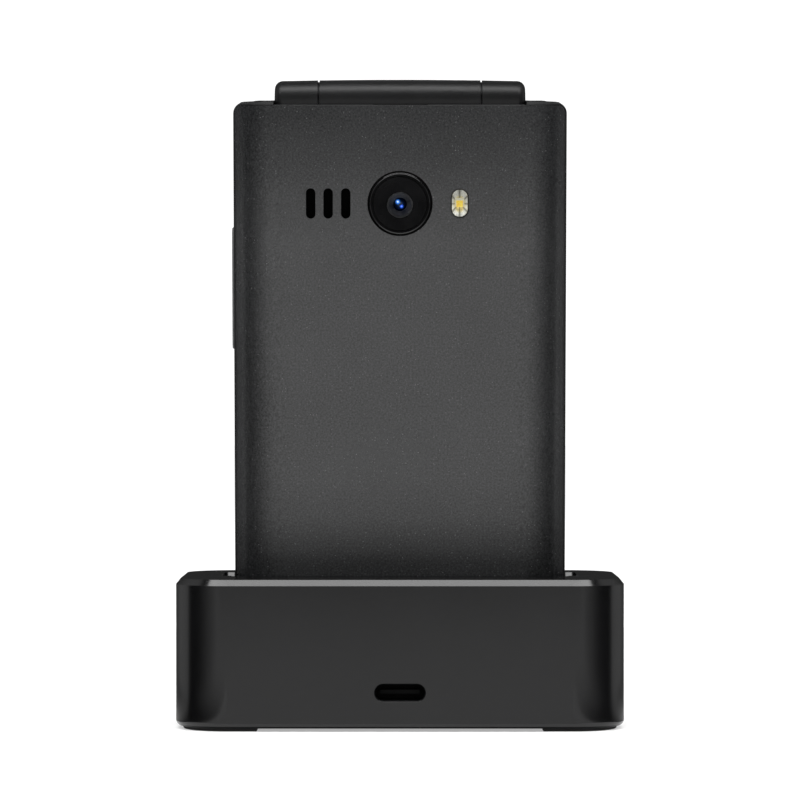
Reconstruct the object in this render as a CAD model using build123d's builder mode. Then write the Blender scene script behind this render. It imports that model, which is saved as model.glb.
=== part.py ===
from build123d import *
import os
from math import radians, sin, cos, sqrt

# A clamshell phone, closed, standing in its charging cradle.
# Millimetres. Origin: centre of the cradle's footprint on the table. +Z up, +X across,
# the cradle's USB-C inlet and the phone's rear cover face -Y.

os.makedirs("parts", exist_ok=True)

# ---------------------------------------------------------------- driving dimensions
# charging cradle
CR_W, CR_D, CR_TOP = 76.1, 39.2, 25.47     # width, depth, height of the deck over the table
CR_R = 9.0                                 # plan radius of the corners
CR_BEVEL_TOP, CR_BEVEL_SIDE = 0.8, 1.0     # bevel round the deck
CR_EDGE = 1.0                              # bottom edge radius
CR_WALL = 2.0
FOOT_H = 0.5
FOOT_X0, FOOT_X1, FOOT_INSET = 24.0, 36.8, 1.25
FLOOR_T = 1.3                              # pocket floor
POCKET_WALL = 1.8
SILL_Z = 8.0                               # top of the low front wall, under the lid
PLATE_T = 1.5                              # base plate
USB_Z = 6.6
USB_W, USB_H = 8.34, 2.66                  # receptacle opening
USB_SKIN = 0.3
USB_OUT_W, USB_OUT_H = USB_W + 2 * USB_SKIN, USB_H + 2 * USB_SKIN
SCOOP_X, SCOOP_Y, SCOOP_LEN, SCOOP_SLOPE = 1.6, 3.35, 12.9, 4.4

# phone, in its own upright frame: x across, y from rear face to front, z up from its bottom edge
PH_W = 57.0
SKIN_Y = 5.75                              # depth of the curved rear skin
SKIN_FLAT = 18.75                          # half width of the flat part of the back
FACE_Y = 10.1                              # keypad face of the base
LID_Y0, LID_Y1 = 10.8, 18.9                # lid, inner and outer face
LID_Z0, LID_Z1 = 4.9, 102.8
CHIN_Z, CHIN_Y = 4.5, 18.4
COVER_T = 1.1
COVER_Z0, COVER_Z1 = 1.2, 102.4
COVER_HW = 28.25
SHOULDER_Z = 103.0
HINGE_Y, HINGE_Z, HINGE_R = 10.5, 102.4, 4.1
CROWN_R = 924.0                            # crown of the barrel along its length
BARREL_X = 13.8                            # half length of the lid's barrel
KNUCKLE_X0, KNUCKLE_X1 = 14.1, 21.5        # end knuckles of the base
NOTCH_X = 21.5                             # half width of the hinge notch between the shoulders
SWING_GAP = 0.3
PIN_GAP = 0.05                             # radial running clearance of the hinge
CAM_Z = 85.8
CAM_HOLE_R = 5.55
CAM_R = 5.27
LENS_DROP = 0.3                            # the lens sits a little under the bezel's centre
SLOT_X = (-15.16, -12.2, -9.21)
SLOT_W, SLOT_H = 1.61, 5.15
FLASH_X, FLASH_W, FLASH_H = 10.16, 3.1, 5.06
VOL_Z, VOL_LEN, VOL_Y, VOL_T, VOL_PROUD = 70.8, 21.0, 8.0, 2.6, 0.35
PORT_Y = 7.4                               # phone's own USB-C port and pads on its bottom face
PAD_X = 8.5
PAD_DEPTH = 0.55

KEY_TOP = 10.5
KEY_FLANGE = 0.5
KEY_GAP = 0.15

# where the phone's upright frame stands in the cradle: leaning back six degrees
LEAN = 6.0
SEAT = Location((0, -2.7, 3.7), (LEAN, 0, 0))


def back_plane(y):
    """Plane parallel to the phone's back at depth y; extrude(amount=-t) goes towards the front."""
    return Plane.XZ.offset(-y)


def barrel_r(x):
    return HINGE_R - x * x / (2 * CROWN_R)


HINGE_AXIS = Axis((0, HINGE_Y, HINGE_Z), (1, 0, 0))

# =============================================================== charging cradle
# hollow under the deck, round the pocket's walls
with BuildPart() as cradle_hollow:
    with BuildSketch(Plane.XY.offset(FOOT_H)):
        RectangleRounded(CR_W - 2 * CR_WALL, CR_D - 2 * CR_WALL, CR_R - CR_WALL)
    extrude(amount=CR_TOP - 2.0 - FOOT_H)
    with BuildSketch(Plane(SEAT).offset(-0.1 - FLOOR_T)):
        with Locations((0, 9.45)):
            Rectangle(2 * 30.8, 23.4)
    extrude(amount=60, mode=Mode.SUBTRACT)
    with BuildSketch(Plane.XY.offset(SILL_Z - POCKET_WALL)):
        with Locations((0, 19.0)):
            Rectangle(2 * 30.8, 14.0)
    extrude(amount=40, mode=Mode.SUBTRACT)

with BuildPart() as cradle_shell:
    with BuildSketch(Plane.XY.offset(FOOT_H)):
        RectangleRounded(CR_W, CR_D, CR_R)
    extrude(amount=CR_TOP - FOOT_H)
    deck = cradle_shell.faces().sort_by(Axis.Z)[-1]
    chamfer(deck.edges(), length=CR_BEVEL_TOP, length2=CR_BEVEL_SIDE, reference=deck)
    fillet(cradle_shell.faces().sort_by(Axis.Z)[0].edges(), radius=CR_EDGE)
    # pocket for the phone, leaning with it
    with BuildSketch(Plane(SEAT).offset(-0.1)):
        with Locations((0, 9.45)):
            RectangleRounded(58.0, 19.8, 1.6)
    extrude(amount=60, mode=Mode.SUBTRACT)
    # open front over the low sill, so that the lid swings clear
    with BuildSketch(Plane.XY.offset(SILL_Z)):
        with Locations((0, 19.0)):
            Rectangle(58.0, 18.0)
    extrude(amount=40, mode=Mode.SUBTRACT)
    # finger scoops beside the phone
    for side in (-1, 1):
        with BuildSketch(Plane.XY.offset(CR_TOP + 0.01)):
            with Locations((side * 29.0, SCOOP_Y)):
                RectangleRounded(2 * SCOOP_X, SCOOP_LEN, 0.5)
        with BuildSketch(Plane.XY.offset(CR_TOP - 5.2)):
            with Locations((side * 29.0, SCOOP_Y)):
                RectangleRounded(2 * SCOOP_X - 0.6, SCOOP_LEN - 2 * SCOOP_SLOPE, 0.5)
        loft(mode=Mode.SUBTRACT)
    add(cradle_hollow.part, mode=Mode.SUBTRACT)
    # screw bosses in the side channels
    with BuildSketch(Plane.XY.offset(FOOT_H + PLATE_T)):
        with Locations((33.4, 11), (33.4, -11), (-33.4, 11), (-33.4, -11)):
            Circle(2.75)
    extrude(amount=CR_TOP - 1.0 - FOOT_H - PLATE_T)
    with BuildSketch(Plane.XY.offset(FOOT_H + PLATE_T)):
        with Locations((33.4, 11), (33.4, -11), (-33.4, 11), (-33.4, -11)):
            Circle(1.02)
    extrude(amount=9.5, mode=Mode.SUBTRACT)
    # inlet opening and the recess that takes the receptacle's mouth
    with BuildSketch(back_plane(-CR_D / 2 - 1)):
        with Locations((0, USB_Z)):
            SlotOverall(USB_W, USB_H + 0.04)
    extrude(amount=-4, mode=Mode.SUBTRACT)
    with BuildSketch(back_plane(-CR_D / 2 + 1.2)):
        with Locations((0, USB_Z)):
            RectangleRounded(USB_OUT_W + 0.4, USB_OUT_H + 0.4, 1.8)
    extrude(amount=-2, mode=Mode.SUBTRACT)
    # turret holes in the pocket floor
    with BuildSketch(Plane(SEAT).offset(-0.05)):
        with Locations((-PAD_X, PORT_Y), (PAD_X, PORT_Y)):
            Circle(1.6)
    extrude(amount=-2.6, mode=Mode.SUBTRACT)
    rim = cradle_shell.edges().filter_by(
        lambda e: abs(e.center().Y + CR_D / 2) < 0.02 and abs(e.center().Z - USB_Z) < 2.0 and abs(e.center().X) < 6
    )
    chamfer(rim, length=0.18)
cradle_shell.part.label = "cradle_shell"
export_step(cradle_shell.part, "parts/cradle_shell.step")

with BuildPart() as cradle_base_plate:
    with BuildSketch(Plane.XY.offset(FOOT_H)):
        RectangleRounded(CR_W - 2 * CR_WALL - 0.3, CR_D - 2 * CR_WALL - 0.3, CR_R - CR_WALL - 0.15)
    extrude(amount=PLATE_T)
    with BuildSketch(Plane.XY.offset(FOOT_H)):
        with Locations((33.4, 11), (33.4, -11), (-33.4, 11), (-33.4, -11)):
            Circle(1.95)
    extrude(amount=0.95, mode=Mode.SUBTRACT)
    with BuildSketch(Plane.XY.offset(FOOT_H)):
        with Locations((33.4, 11), (33.4, -11), (-33.4, 11), (-33.4, -11)):
            Circle(1.1)
    extrude(amount=3, mode=Mode.SUBTRACT)
    # posts that carry the charging board, with heat-stake pegs
    with BuildSketch(Plane.XY.offset(FOOT_H + PLATE_T)):
        with Locations((-14, -9.5), (14, -9.5)):
            Circle(1.7)
    extrude(amount=3.95 - FOOT_H - PLATE_T)
    with BuildSketch(Plane.XY.offset(3.95)):
        with Locations((-14, -9.5), (14, -9.5)):
            Circle(0.7)
    extrude(amount=1.5)
cradle_base_plate.part.label = "cradle_base_plate"
export_step(cradle_base_plate.part, "parts/cradle_base_plate.step")

with BuildPart() as cradle_feet:
    with BuildSketch(Plane.XY):
        RectangleRounded(CR_W - 2 * FOOT_INSET, CR_D - 2 * FOOT_INSET, CR_R - FOOT_INSET)
        Rectangle(2 * FOOT_X0, CR_D, mode=Mode.SUBTRACT)
    extrude(amount=FOOT_H)
    chamfer(cradle_feet.faces().filter_by(lambda f: abs(f.center().Z) < 0.01).edges(), length=0.15)
cradle_feet.part.label = "cradle_feet"
export_step(cradle_feet.part, "parts/cradle_feet.step")

with BuildPart() as cradle_screws:
    with BuildSketch(Plane.XY.offset(FOOT_H + 0.05)):
        with Locations((33.4, 11), (33.4, -11), (-33.4, 11), (-33.4, -11)):
            Circle(1.8)
    extrude(amount=0.88)
    with BuildSketch(Plane.XY.offset(FOOT_H + 0.5)):
        with Locations((33.4, 11), (33.4, -11), (-33.4, 11), (-33.4, -11)):
            Circle(1.0)
    extrude(amount=8.5)
    with BuildSketch(Plane.XY.offset(FOOT_H + 0.05)):
        with Locations((33.4, 11), (33.4, -11), (-33.4, 11), (-33.4, -11)):
            Rectangle(2.0, 0.4)
            Rectangle(0.4, 2.0)
    extrude(amount=0.5, mode=Mode.SUBTRACT)
cradle_screws.part.label = "cradle_screws"
export_step(cradle_screws.part, "parts/cradle_screws.step")

with BuildPart() as cradle_ballast:
    with BuildSketch(Plane.XY.offset(11.2)):
        with Locations((0, -12.35)):
            RectangleRounded(60.0, 8.3, 1.0)
    extrude(amount=12.2)
    chamfer(cradle_ballast.edges().filter_by(lambda e: e.center().Z < 11.3), length=0.4)
cradle_ballast.part.label = "cradle_ballast"
export_step(cradle_ballast.part, "parts/cradle_ballast.step")

with BuildPart() as cradle_pcb:
    with BuildSketch(Plane.XY.offset(3.95)):
        with Locations((0, -11.5)):
            RectangleRounded(36.0, 11.4, 0.8)
        with Locations((-14, -9.5), (14, -9.5)):
            Circle(0.75, mode=Mode.SUBTRACT)
    extrude(amount=1.0)
    # charge controller, inductor and capacitors
    with BuildSketch(Plane.XY.offset(4.95)):
        with Locations((9.0, -9.0)):
            Rectangle(3.6, 3.6)
        with Locations((-9.0, -9.0)):
            Rectangle(4.2, 4.2)
    extrude(amount=1.2)
    with BuildSketch(Plane.XY.offset(4.95)):
        with Locations((13.2, -13.6), (10.6, -13.6), (-12.6, -13.6), (-9.8, -13.6)):
            Rectangle(1.6, 0.9)
    extrude(amount=0.6)
cradle_pcb.part.label = "cradle_pcb"
export_step(cradle_pcb.part, "parts/cradle_pcb.step")

with BuildPart() as cradle_usb_shell:
    with BuildSketch(back_plane(-CR_D / 2 + 1.25)):
        with Locations((0, USB_Z)):
            SlotOverall(USB_OUT_W, USB_OUT_H)
    extrude(amount=-7.3)
    with BuildSketch(back_plane(-CR_D / 2 + 1.25)):
        with Locations((0, USB_Z)):
            SlotOverall(USB_W, USB_H)
    extrude(amount=-6.6, mode=Mode.SUBTRACT)
cradle_usb_shell.part.label = "cradle_usb_shell"
export_step(cradle_usb_shell.part, "parts/cradle_usb_shell.step")

with BuildPart() as cradle_usb_tongue:
    with BuildSketch(back_plane(-CR_D / 2 + 2.3)):
        with Locations((0, USB_Z)):
            RectangleRounded(6.69, 0.7, 0.2)
    extrude(amount=-5.5)
    with BuildSketch(back_plane(-CR_D / 2 + 5.3)):
        with Locations((0, USB_Z)):
            SlotOverall(8.2, 2.5)
    extrude(amount=-2.5)
cradle_usb_tongue.part.label = "cradle_usb_tongue"
export_step(cradle_usb_tongue.part, "parts/cradle_usb_tongue.step")

# pins stand square to the phone's bottom face, so they lean with it
with BuildPart() as pin_block:
    with BuildSketch(Plane.XY.offset(FOOT_H + PLATE_T)):
        with Locations((0, 4.85)):
            RectangleRounded(23.0, 4.6, 0.8)
    extrude(amount=0.85)
    with BuildSketch(Plane(SEAT).offset(-0.16)):
        with Locations((-PAD_X, PORT_Y), (PAD_X, PORT_Y)):
            Circle(1.45)
    extrude(amount=-1.9)
    with BuildSketch(Plane(SEAT).offset(1)):
        with Locations((-PAD_X, PORT_Y), (PAD_X, PORT_Y)):
            Circle(0.62)
    extrude(amount=-3.35, mode=Mode.SUBTRACT)
pin_block.part.label = "pin_block"
export_step(pin_block.part, "parts/pin_block.step")

with BuildPart() as charge_pins:
    with BuildSketch(Plane(SEAT).offset(0.5)):
        with Locations((-PAD_X, PORT_Y), (PAD_X, PORT_Y)):
            Circle(0.55)
    extrude(amount=-2.3)
    fillet(
        charge_pins.edges().filter_by(GeomType.CIRCLE).sort_by(Axis.Z)[-2:],
        radius=0.3,
    )
charge_pins.part.label = "charge_pins"
export_step(charge_pins.part, "parts/charge_pins.step")

# =============================================================== phone: shared sections
# outer section of the rear skin: flat back running into elliptical sides
with BuildSketch() as skin_outer:
    with BuildLine():
        l1 = Line((-SKIN_FLAT, 0), (SKIN_FLAT, 0))
        l2 = EllipticalCenterArc((SKIN_FLAT, SKIN_Y), COVER_HW - SKIN_FLAT, SKIN_Y, start_angle=270, arc_size=90)
        l3 = Line(l2 @ 1, (-COVER_HW, SKIN_Y))
        l4 = EllipticalCenterArc((-SKIN_FLAT, SKIN_Y), COVER_HW - SKIN_FLAT, SKIN_Y, start_angle=180, arc_size=90)
    make_face()

with BuildSketch() as skin_inner:
    with BuildLine():
        l1 = Line((-SKIN_FLAT, COVER_T), (SKIN_FLAT, COVER_T))
        l2 = EllipticalCenterArc(
            (SKIN_FLAT, SKIN_Y), COVER_HW - SKIN_FLAT - COVER_T, SKIN_Y - COVER_T, start_angle=270, arc_size=90
        )
        l3 = Line(l2 @ 1, (-(COVER_HW - COVER_T), SKIN_Y))
        l4 = EllipticalCenterArc(
            (-SKIN_FLAT, SKIN_Y), COVER_HW - SKIN_FLAT - COVER_T, SKIN_Y - COVER_T, start_angle=180, arc_size=90
        )
    make_face()

# section of the frame's end lips, a hair wider than the cover
with BuildSketch() as lip_section:
    with BuildLine():
        l1 = Line((-SKIN_FLAT, 0.05), (SKIN_FLAT, 0.05))
        l2 = EllipticalCenterArc(
            (SKIN_FLAT, SKIN_Y + 0.05), PH_W / 2 - SKIN_FLAT, SKIN_Y, start_angle=270, arc_size=90
        )
        l3 = Line(l2 @ 1, (-PH_W / 2, SKIN_Y + 0.05))
        l4 = EllipticalCenterArc(
            (-SKIN_FLAT, SKIN_Y + 0.05), PH_W / 2 - SKIN_FLAT, SKIN_Y, start_angle=180, arc_size=90
        )
    make_face()

# section of the frame's inner strips, inside the cover
with BuildSketch() as strip_section:
    with BuildLine():
        l1 = Line((-SKIN_FLAT, COVER_T + 0.15), (SKIN_FLAT, COVER_T + 0.15))
        l2 = EllipticalCenterArc(
            (SKIN_FLAT, SKIN_Y), COVER_HW - SKIN_FLAT - COVER_T - 0.15, SKIN_Y - COVER_T - 0.15,
            start_angle=270, arc_size=90,
        )
        l3 = Line(l2 @ 1, (-(COVER_HW - COVER_T - 0.15), SKIN_Y))
        l4 = EllipticalCenterArc(
            (-SKIN_FLAT, SKIN_Y), COVER_HW - SKIN_FLAT - COVER_T - 0.15, SKIN_Y - COVER_T - 0.15,
            start_angle=180, arc_size=90,
        )
    make_face()

# outline of the frame seen from behind: shoulders fall slightly towards rounded corners
with BuildSketch() as frame_face:
    with BuildLine():
        Polyline(
            (-PH_W / 2, 0), (PH_W / 2, 0), (PH_W / 2, SHOULDER_Z - 0.3), (NOTCH_X, SHOULDER_Z),
            (-NOTCH_X, SHOULDER_Z), (-PH_W / 2, SHOULDER_Z - 0.3), close=True,
        )
    make_face()
    fillet(frame_face.vertices().sort_by(Axis.Y)[0:2], radius=2.5)
    fillet(frame_face.vertices().filter_by(lambda v: v.Y > 100 and abs(v.X) > 28), radius=1.9)

# =============================================================== phone base
with BuildPart() as rear_cover:
    with BuildSketch(Plane.XY.offset(COVER_Z0)):
        add(skin_outer.sketch_local)
    extrude(amount=COVER_Z1 - COVER_Z0)
    with BuildSketch(back_plane(-1)):
        with Locations((0, (COVER_Z0 + COVER_Z1) / 2)):
            RectangleRounded(2 * COVER_HW, COVER_Z1 - COVER_Z0, 1.65)
    extrude(amount=-(1 + SKIN_Y - 0.15), mode=Mode.INTERSECT)
    fillet(
        rear_cover.edges().filter_by(lambda e: abs(e.center().Z - COVER_Z1) < 0.01 and e.center().Y < 4.0),
        radius=0.08,
    )
    with BuildSketch(Plane.XY.offset(COVER_Z0 + COVER_T)):
        add(skin_inner.sketch_local)
    extrude(amount=COVER_Z1 - COVER_Z0 - 2 * COVER_T, mode=Mode.SUBTRACT)
    # speaker slots, camera hole, flash window
    with BuildSketch(back_plane(-1)):
        with Locations(*[(x, CAM_Z) for x in SLOT_X]):
            SlotOverall(SLOT_H, SLOT_W, rotation=90)
        with Locations((0, CAM_Z)):
            Circle(CAM_HOLE_R)
        with Locations((FLASH_X, CAM_Z)):
            SlotOverall(FLASH_H, FLASH_W, rotation=90)
    extrude(amount=-3, mode=Mode.SUBTRACT)
    # thumbnail notch in the top edge
    with BuildSketch(Plane.XY.offset(COVER_Z1 - 0.25)):
        with BuildLine():
            Polyline((-4.9, 6.5), (-4.5, 0.9), (4.5, 0.9), (4.9, 6.5), close=True)
        make_face()
    extrude(amount=2, mode=Mode.SUBTRACT)
rear_cover.part = SEAT * rear_cover.part
rear_cover.part.label = "rear_cover"
export_step(rear_cover.part, "parts/rear_cover.step")

# end lips of the frame, which close the cover's two ends
with BuildPart() as end_lips:
    with BuildSketch(Plane.XY):
        add(lip_section.sketch_local)
    extrude(amount=104)
    with BuildSketch(back_plane(-1)):
        add(frame_face.sketch_local)
    extrude(amount=-12, mode=Mode.INTERSECT)
    with BuildSketch(Plane.XY.offset(COVER_Z0 - 0.1)):
        with Locations((0, 5)):
            Rectangle(70, 20)
    extrude(amount=COVER_Z1 + 0.1 - COVER_Z0 + 0.1, mode=Mode.SUBTRACT)
    with BuildSketch(back_plane(-1)):
        with Locations((0, 103.4)):
            Rectangle(2 * NOTCH_X, 2.2)
    extrude(amount=-12, mode=Mode.SUBTRACT)

# end knuckle of the hinge, one side; its outer rim is well rounded
with BuildPart() as end_knuckle:
    with BuildSketch(Plane.XZ.offset(-HINGE_Y)) as knuckle_profile:
        with BuildLine():
            Polyline(
                (KNUCKLE_X1, HINGE_Z + barrel_r(KNUCKLE_X1)), (KNUCKLE_X1, HINGE_Z),
                (KNUCKLE_X0, HINGE_Z), (KNUCKLE_X0, HINGE_Z + barrel_r(KNUCKLE_X0)),
            )
            ThreePointArc(
                (KNUCKLE_X0, HINGE_Z + barrel_r(KNUCKLE_X0)),
                (17.8, HINGE_Z + barrel_r(17.8)),
                (KNUCKLE_X1, HINGE_Z + barrel_r(KNUCKLE_X1)),
            )
        make_face()
        fillet(
            knuckle_profile.vertices().filter_by(lambda v: v.X > 21 and v.Y > HINGE_Z + 2), radius=1.4
        )
    revolve(axis=HINGE_AXIS)

# hubs outside the lid's swing, cut flat on top; their outer corners follow the frame's outline
with BuildPart() as side_hubs:
    for side in (-1, 1):
        with BuildSketch(Plane.YZ.offset(side * 25.0)):
            with Locations((HINGE_Y, HINGE_Z)):
                Circle(HINGE_R)
            with Locations((HINGE_Y, HINGE_Z + 3.2)):
                Rectangle(12, 6.0, mode=Mode.SUBTRACT)
        extrude(amount=3.35, both=True)
    with BuildSketch(back_plane(0)):
        add(frame_face.sketch_local)
    extrude(amount=-20, mode=Mode.INTERSECT)

with BuildPart() as base_frame:
    # slab of the side rails
    with BuildSketch(back_plane(SKIN_Y)):
        add(frame_face.sketch_local)
    extrude(amount=-(FACE_Y - SKIN_Y))
    with BuildSketch(back_plane(-1)):
        with Locations((0, 104.0)):
            Rectangle(2 * NOTCH_X, 3.3)
    extrude(amount=-12, mode=Mode.SUBTRACT)
    add(end_lips.part)
    # chin under the lid, which the cradle's sill holds
    with BuildSketch(back_plane(FACE_Y)):
        add(frame_face.sketch_local)
        with Locations((0, CHIN_Z + 60)):
            Rectangle(PH_W + 2, 120, mode=Mode.SUBTRACT)
    extrude(amount=-(CHIN_Y - FACE_Y))
    fillet(base_frame.faces().sort_by(Axis.Y)[-1].edges(), radius=1.1)
    # strips inside the cover
    with BuildSketch(Plane.XY.offset(COVER_Z0 + COVER_T + 0.15)):
        add(strip_section.sketch_local)
        with Locations((0, 3)):
            Rectangle(2 * 22.8, 8, mode=Mode.SUBTRACT)
    extrude(amount=COVER_Z1 - COVER_Z0 - 2 * COVER_T - 0.3)
    # cavity for board and keys, open to the front
    with BuildSketch(back_plane(6.8)):
        with Locations((0, 49.4)):
            Rectangle(2 * 26.4, 94.8)
    extrude(amount=-5, mode=Mode.SUBTRACT)
    with BuildSketch(back_plane(9.1)):
        with Locations((0, 51.0)):
            RectangleRounded(54.0, 91.9, 2.0)
    extrude(amount=-2, mode=Mode.SUBTRACT)
    # battery side
    with BuildSketch(back_plane(5.0)):
        with Locations((0, 51.2)):
            Rectangle(2 * 22.8, 98.4)
    extrude(amount=-1.1, mode=Mode.SUBTRACT)
    with BuildSketch(back_plane(5.0)):
        with Locations((0, 81.8)):
            Rectangle(2 * 22.8, 30.0)
    extrude(amount=-2.0, mode=Mode.SUBTRACT)
    # rib between battery bay and camera bay
    with BuildSketch(back_plane(1.5)):
        with Locations((0, 65.0)):
            Rectangle(2 * 22.9, 1.2)
        with Locations((-24.5, 65.0), (24.5, 65.0)):
            Rectangle(6.0, 3.0, mode=Mode.SUBTRACT)
    extrude(amount=-5.0)
    with BuildSketch(back_plane(3.0)):
        with Locations((-22.2, 65.0), (22.2, 65.0)):
            Rectangle(1.6, 1.2)
    extrude(amount=-3.5)
    # hinge: clearance for the lid's barrel, then knuckles and side hubs
    with BuildSketch(Plane.YZ.offset(-KNUCKLE_X0)):
        with Locations((HINGE_Y, HINGE_Z)):
            Circle(HINGE_R + SWING_GAP)
    extrude(amount=2 * KNUCKLE_X0, mode=Mode.SUBTRACT)
    add(end_knuckle.part)
    mirror(about=Plane.YZ, objects=end_knuckle.part)
    add(side_hubs.part)
    # bores for the cam module and the pin, blind at their outer ends
    with BuildSketch(Plane.YZ.offset(-KNUCKLE_X0 + 1)):
        with Locations((HINGE_Y, HINGE_Z)):
            Circle(2.62)
    extrude(amount=-(20.9 - KNUCKLE_X0 + 1), mode=Mode.SUBTRACT)
    with BuildSketch(Plane.YZ.offset(KNUCKLE_X0 - 1)):
        with Locations((HINGE_Y, HINGE_Z)):
            Circle(1.52)
    extrude(amount=20.9 - KNUCKLE_X0 + 1, mode=Mode.SUBTRACT)
    # port and charge pads in the bottom face
    with BuildSketch(Plane.XY.offset(-0.5)):
        with Locations((0, PORT_Y)):
            SlotOverall(USB_W, USB_H)
        with Locations((-PAD_X, PORT_Y), (PAD_X, PORT_Y)):
            Circle(1.4)
    extrude(amount=0.5 + 0.85, mode=Mode.SUBTRACT)
    with BuildSketch(Plane.XY.offset(0.3)):
        with Locations((0, PORT_Y)):
            SlotOverall(USB_OUT_W + 0.06, USB_OUT_H + 0.06)
    extrude(amount=2, mode=Mode.SUBTRACT)
    with BuildSketch(Plane.XY.offset(2.0)):
        with Locations((0, PORT_Y)):
            Rectangle(USB_OUT_W + 0.3, 3.5)
    extrude(amount=6.0, mode=Mode.SUBTRACT)
    # slot for the volume rocker
    with BuildSketch(Plane.YZ.offset(-29.5)):
        with Locations((VOL_Y, VOL_Z)):
            SlotOverall(VOL_LEN + 0.3, VOL_T + 0.3, rotation=90)
    extrude(amount=3.1, mode=Mode.SUBTRACT)
    # screw seats in the strips
    with BuildSketch(back_plane(1.0)):
        with Locations(*[(sx * 24.2, z) for sx in (-1, 1) for z in (10.0, 52.0, 95.0)]):
            Circle(1.6)
    extrude(amount=-3.4, mode=Mode.SUBTRACT)
    with BuildSketch(back_plane(4.0)):
        with Locations(*[(sx * 24.2, z) for sx in (-1, 1) for z in (10.0, 52.0, 95.0)]):
            Circle(0.82)
    extrude(amount=-4, mode=Mode.SUBTRACT)
base_frame.part = SEAT * base_frame.part
base_frame.part.label = "base_frame"
export_step(base_frame.part, "parts/base_frame.step")

with BuildPart() as base_screws:
    with BuildSketch(back_plane(3.55)):
        with Locations(*[(sx * 24.2, z) for sx in (-1, 1) for z in (10.0, 52.0, 95.0)]):
            Circle(1.45)
    extrude(amount=-0.85)
    with BuildSketch(back_plane(4.0)):
        with Locations(*[(sx * 24.2, z) for sx in (-1, 1) for z in (10.0, 52.0, 95.0)]):
            Circle(0.8)
    extrude(amount=-2.7)
    with BuildSketch(back_plane(3.4)):
        with Locations(*[(sx * 24.2, z) for sx in (-1, 1) for z in (10.0, 52.0, 95.0)]):
            Rectangle(1.6, 0.35)
            Rectangle(0.35, 1.6)
    extrude(amount=-0.5, mode=Mode.SUBTRACT)
base_screws.part = SEAT * base_screws.part
base_screws.part.label = "base_screws"
export_step(base_screws.part, "parts/base_screws.step")

with BuildPart() as battery:
    with BuildSketch(back_plane(1.4)):
        with Locations((0, 36.2)):
            RectangleRounded(43.0, 55.6, 1.5)
    extrude(amount=-4.5)
    fillet(battery.edges().filter_by(Axis.Z), radius=1.0)
battery.part = SEAT * battery.part
battery.part.label = "battery"
export_step(battery.part, "parts/battery.step")

with BuildPart() as main_pcb:
    with BuildSketch(back_plane(6.9)):
        with Locations((0, 52.3)):
            RectangleRounded(51.0, 88.0, 1.5)
    extrude(amount=-0.8)
    # shield cans and chips on the battery side, over the battery bay's end
    with BuildSketch(back_plane(5.5)):
        with Locations((-14.0, 72.6)):
            RectangleRounded(15.0, 11.0, 0.6)
    extrude(amount=-1.41)
main_pcb.part = SEAT * main_pcb.part
main_pcb.part.label = "main_pcb"
export_step(main_pcb.part, "parts/main_pcb.step")

with BuildPart() as sim_holder:
    with BuildSketch(back_plane(5.4)):
        with Locations((12.0, 73.2)):
            RectangleRounded(17.0, 11.6, 0.8)
    extrude(amount=-1.45)
    with BuildSketch(back_plane(5.7)):
        with Locations((12.0, 72.2)):
            Rectangle(15.2, 10.6)
    extrude(amount=-0.85, mode=Mode.SUBTRACT)
sim_holder.part = SEAT * sim_holder.part
sim_holder.part.label = "sim_holder"
export_step(sim_holder.part, "parts/sim_holder.step")

with BuildPart() as loudspeaker:
    with BuildSketch(back_plane(1.55)):
        with Locations((-12.3, CAM_Z)):
            RectangleRounded(12.0, 13.0, 1.5)
    extrude(amount=-4.9)
    with BuildSketch(back_plane(1.55)):
        with Locations((-12.3, CAM_Z)):
            RectangleRounded(9.2, 8.0, 2.0)
    extrude(amount=-1.2, mode=Mode.SUBTRACT)
loudspeaker.part = SEAT * loudspeaker.part
loudspeaker.part.label = "loudspeaker"
export_step(loudspeaker.part, "parts/loudspeaker.step")

with BuildPart() as speaker_mesh:
    with BuildSketch(back_plane(1.15)):
        with Locations((-12.2, CAM_Z)):
            RectangleRounded(10.4, 8.0, 1.5)
    extrude(amount=-0.3)
speaker_mesh.part = SEAT * speaker_mesh.part
speaker_mesh.part.label = "speaker_mesh"
export_step(speaker_mesh.part, "parts/speaker_mesh.step")

# camera: bezel standing slightly proud, cover glass, module and lens
with BuildPart() as camera_ring:
    with BuildSketch(back_plane(-0.25)):
        with Locations((0, CAM_Z)):
            Circle(CAM_R)
    extrude(amount=-1.9)
    fillet(camera_ring.faces().sort_by(Axis.Y)[0].edges(), radius=0.28)
    with BuildSketch(back_plane(-1)):
        with Locations((0, CAM_Z)):
            Circle(4.62)
    extrude(amount=-2.1, mode=Mode.SUBTRACT)
    with BuildSketch(back_plane(0)):
        with Locations((0, CAM_Z - LENS_DROP)):
            Circle(2.7)
    extrude(amount=-4, mode=Mode.SUBTRACT)
    # flange that the cover clamps against
    with BuildSketch(back_plane(1.2)):
        with Locations((0, CAM_Z)):
            Circle(6.2)
        with Locations((0, CAM_Z - LENS_DROP)):
            Circle(2.7, mode=Mode.SUBTRACT)
    extrude(amount=-0.6)
camera_ring.part = SEAT * camera_ring.part
camera_ring.part.label = "camera_ring"
export_step(camera_ring.part, "parts/camera_ring.step")

with BuildPart() as camera_glass:
    with BuildSketch(back_plane(-0.2)):
        with Locations((0, CAM_Z)):
            Circle(4.57)
    extrude(amount=-1.25)
    fillet(camera_glass.faces().sort_by(Axis.Y)[0].edges(), radius=0.12)
camera_glass.part = SEAT * camera_glass.part
camera_glass.part.label = "camera_glass"
export_step(camera_glass.part, "parts/camera_glass.step")

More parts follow.
